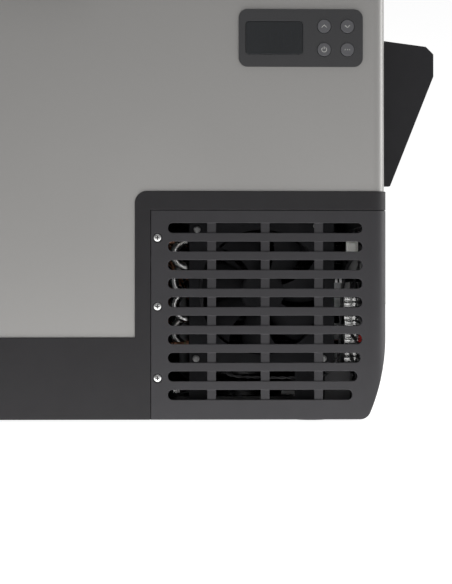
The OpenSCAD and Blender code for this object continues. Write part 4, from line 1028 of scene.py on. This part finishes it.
def make_terminals(materials):
    """Push-on tab receptacles on the drive's terminals: rolled edges, a crimp and a sleeve each."""
    draw = random.Random(SEED)
    front = TERMINAL_FACE_Y * MM
    shape = Shape()
    for z_mm, sleeve in TERMINALS:
        x0 = (TERMINAL_X + draw.uniform(-0.6, 0.6)) * MM
        y = front - draw.uniform(1.6, 3.2) * MM
        z = z_mm * MM
        turn = draw.uniform(-0.10, 0.10)
        along = Vector((math.cos(turn), 0, math.sin(turn)))
        start = Vector((x0, y, z))
        tab_low = (x0, y - 0.3 * MM, z - 1.5 * MM)
        tab_high = (x0 + 7.5 * MM, y + 0.3 * MM, z + 1.5 * MM)
        shape.block(tab_low, tab_high, 0.15 * MM, METAL)
        for edge in (-1.45, 1.45):
            rolled = [start + along * (k * 2.5 * MM) + Vector((0, -0.75 * MM, edge * MM)) for k in range(4)]
            shape.tube(rolled, 0.75 * MM, 10)
        shape.turned(profile_mm(CRIMP), start, along, 14)
        shape.turned(profile_mm(SLEEVE), start, along, 14, sleeve)
        stud_foot = start + Vector((9 * MM, -1.6 * MM, 0))
        shape.turned(profile_mm(STUD), stud_foot, (0, 1, 0), 12)
    finishes = [materials["plated_screw"], materials["wire_insulation"], materials["wire_black"]]
    shape.piece("tab_receptacles", "cabinet", "plated_screw", finishes)


# ---------------------------------------------------------------- control panel


def make_button_marks(materials):
    """Raised generic marks on the buttons: a power ring, dots, an up and a down arrow."""
    line = 0.22 * MM

    def mark(node, strokes):
        low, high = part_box(node)
        centre = Vector(((low.x + high.x) / 2, low.y + 0.06 * MM, (low.z + high.z) / 2))
        shape = Shape()
        for stroke in strokes:
            shape.tube([centre + Vector((x, 0, z)) * MM for x, z in stroke], line, 8)
        shape.piece(node + "_mark", BODY_OF[node], "light_plastic", [materials["light_plastic"]])

    ring = [(2.2 * math.sin(math.radians(a)), 2.2 * math.cos(math.radians(a))) for a in range(35, 326, 15)]
    mark("button_power", [ring, [(0, 0.6), (0, 2.8)]])
    mark("button_mode", [[(x, -0.45), (x, 0.45)] for x in (-2, 0, 2)])
    mark("button_up", [[(-2.2, -1), (0, 1.3), (2.2, -1)]])
    mark("button_down", [[(-2.2, 1), (0, -1.3), (2.2, 1)]])


DIGIT_STROKES = [
    ((-1, 2), (1, 2)), ((-1, 0), (1, 0)), ((-1, -2), (1, -2)),
    ((-1, 0), (-1, 2)), ((1, 0), (1, 2)), ((-1, -2), (-1, 0)), ((1, -2), (1, 0)),
]


def make_display_segments(materials):
    """Unlit seven-segment figures behind the display's glass."""
    low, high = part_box("display_lens")
    centre = (low + high) / 2
    behind = high.y + 0.5 * MM
    size = 3.6 * MM
    shrink = 0.12
    shape = Shape()
    for digit in (-1.1, 0, 1.1):
        for (x0, z0), (x1, z1) in DIGIT_STROKES:
            a = Vector((digit * 3 + x0 + (x1 - x0) * shrink, 0, z0 + (z1 - z0) * shrink))
            b = Vector((digit * 3 + x1 - (x1 - x0) * shrink, 0, z1 - (z1 - z0) * shrink))
            offset = Vector((centre.x, behind, centre.z))
            shape.tube([offset + a * size, offset + (a + b) / 2 * size, offset + b * size], 0.55 * MM, 6)
    shape.piece("display_segments", "cabinet", "light_plastic", [materials["segment_grey"]])


# ---------------------------------------------------------------- CAD nodes and their finishes

# The nodes of each material slot, as in the record.
SLOT_NODES = {
    "charcoal_plastic": ["base_tray", "compressor_cover", "top_frame", "lid_outer", "latch_base"],
    "steel_skin": ["outer_skin"],
    "plated_screw": [
        "cover_screws", "handle_screws", "hinge_pins", "body_screws", "lid_screws", "latch_pin",
        "shroud_screws", "compressor_bolts",
    ],
    "galvanised_sheet": ["bay_liner", "condenser_end_plates"],
    "foam": ["foam_insulation", "lid_foam"],
    "liner_plastic": ["inner_liner", "lid_inner", "drain_tube"],
    "aluminium_plate": ["evaporator_plate", "condenser_fins", "power_converter"],
    "rubber_black": ["rubber_feet", "drain_plug", "lid_gasket", "handle_grips", "compressor_grommets"],
    "handle_plastic": ["handle_right", "handle_left", "latch_lever"],
    "hinge_metal": ["hinge_body_leaves", "hinge_lid_leaves", "latch_keeper", "electronics_bracket"],
    "spring_steel": ["latch_spring"],
    "black_plastic": [
        "control_bezel", "fan_shroud", "fan_frame", "fan_rotor", "terminal_cover", "controller_module",
        "dc_inlet", "ac_inlet",
    ],
    "display_glass": ["display_lens"],
    "button_plastic": ["button_power", "button_mode", "button_up", "button_down"],
    "circuit_board": ["control_board"],
    "black_enamel": ["compressor_shell"],
    "tube_metal": ["condenser_tube"],
    "copper": ["filter_drier", "refrigerant_lines"],
    "wire_insulation": ["wiring_harness"],
    "light_plastic": ["fan_connector", "led_lamp"],
    "coated_wire": ["wire_basket", "basket_divider"],
}


# Nodes whose finish differs from their slot's. The compressor cover's is a lighter copy of the charcoal
# plastic, painted light.
OTHER_FINISH = {
    "compressor_cover": "charcoal_lit_copy", "electronics_bracket": "bracket_paint",
    "fan_shroud": "fan_plastic", "fan_frame": "fan_plastic", "shroud_screws": "dull_screw",
    "condenser_end_plates": "bracket_paint",
}
# Nodes that a hand-built piece stands for.
REBUILT = [
    "wire_basket", "basket_divider", "lid_gasket", "handle_grips", "condenser_tube", "condenser_fins",
    "fan_rotor", "refrigerant_lines", "filter_drier", "wiring_harness",
]
FINE_EDGE = 0.0004
EDGE_RADIUS = {
    "compressor_cover": 0.00045, "base_tray": 0.0005, "top_frame": 0.001, "lid_outer": 0.001,
    "handle_right": 0.0012, "handle_left": 0.0012, "latch_lever": 0.0007, "outer_skin": 0.00025,
    "inner_liner": 0.0006, "lid_inner": 0.001, "rubber_feet": 0.0006,
}
# The cover's screws in millimetres: their heads, the curve of the domes and their places on the front.
HEAD_R, HEAD_H, DOME = 3.3, 1.9, 14.5
SCREW_X = 104.3
SCREW_Z = (39.5, 104.0, 165.8)
SCREW_FACE_Y = -195.7


def recess_shade_mask(point):
    """1 inside the cross recess of a cover screw, where the faces get painted shade, otherwise 0."""
    x, y, z = point / MM
    reach = min(math.hypot(x - SCREW_X, z - screw_z) for screw_z in SCREW_Z)
    dome_y = SCREW_FACE_Y + reach * reach / DOME
    return int(reach < 0.9 * HEAD_R and dome_y + 0.12 < y < SCREW_FACE_Y + 0.75 * HEAD_H)


# Nodes with a second finish, and what tells its faces: the cover screws' cross recesses, painted dark as
# shade.
SECOND_FINISH = {"cover_screws": ("recess_painted_shade", recess_shade_mask)}


def paint_nodes(materials):
    """Gives every CAD node its slot's finish."""
    for slot, nodes in SLOT_NODES.items():
        for node in nodes:
            mesh = NODES[node].data
            mesh.materials.clear()
            mesh.materials.append(materials[slot])


def refine_nodes(materials):
    """Stands a copy with rounded edges in for every CAD node that isn't rebuilt."""
    for slot, nodes in SLOT_NODES.items():
        for node in nodes:
            if node in REBUILT:
                continue
            second, pick = SECOND_FINISH.get(node, (None, None))
            finishes = [materials[OTHER_FINISH.get(node, slot)]]
            if second:
                finishes.append(materials[second])
            refined(node, slot, finishes, EDGE_RADIUS.get(node, FINE_EDGE), pick=pick)


def main():
    bpy.context.scene.view_settings.view_transform = "Standard"
    make_camera()
    make_world()
    make_lights()
    make_floor()
    materials = make_materials()
    paint_nodes(materials)
    refine_nodes(materials)
    make_basket(materials)
    make_divider(materials)
    make_gasket(materials)
    make_grips(materials)
    make_condenser_tube(materials)
    make_condenser_fins(materials)
    make_fan_rotor(materials)
    make_pipes(materials)
    make_drier(materials)
    make_wires(materials)
    make_terminals(materials)
    make_button_marks(materials)
    make_display_segments(materials)


main()
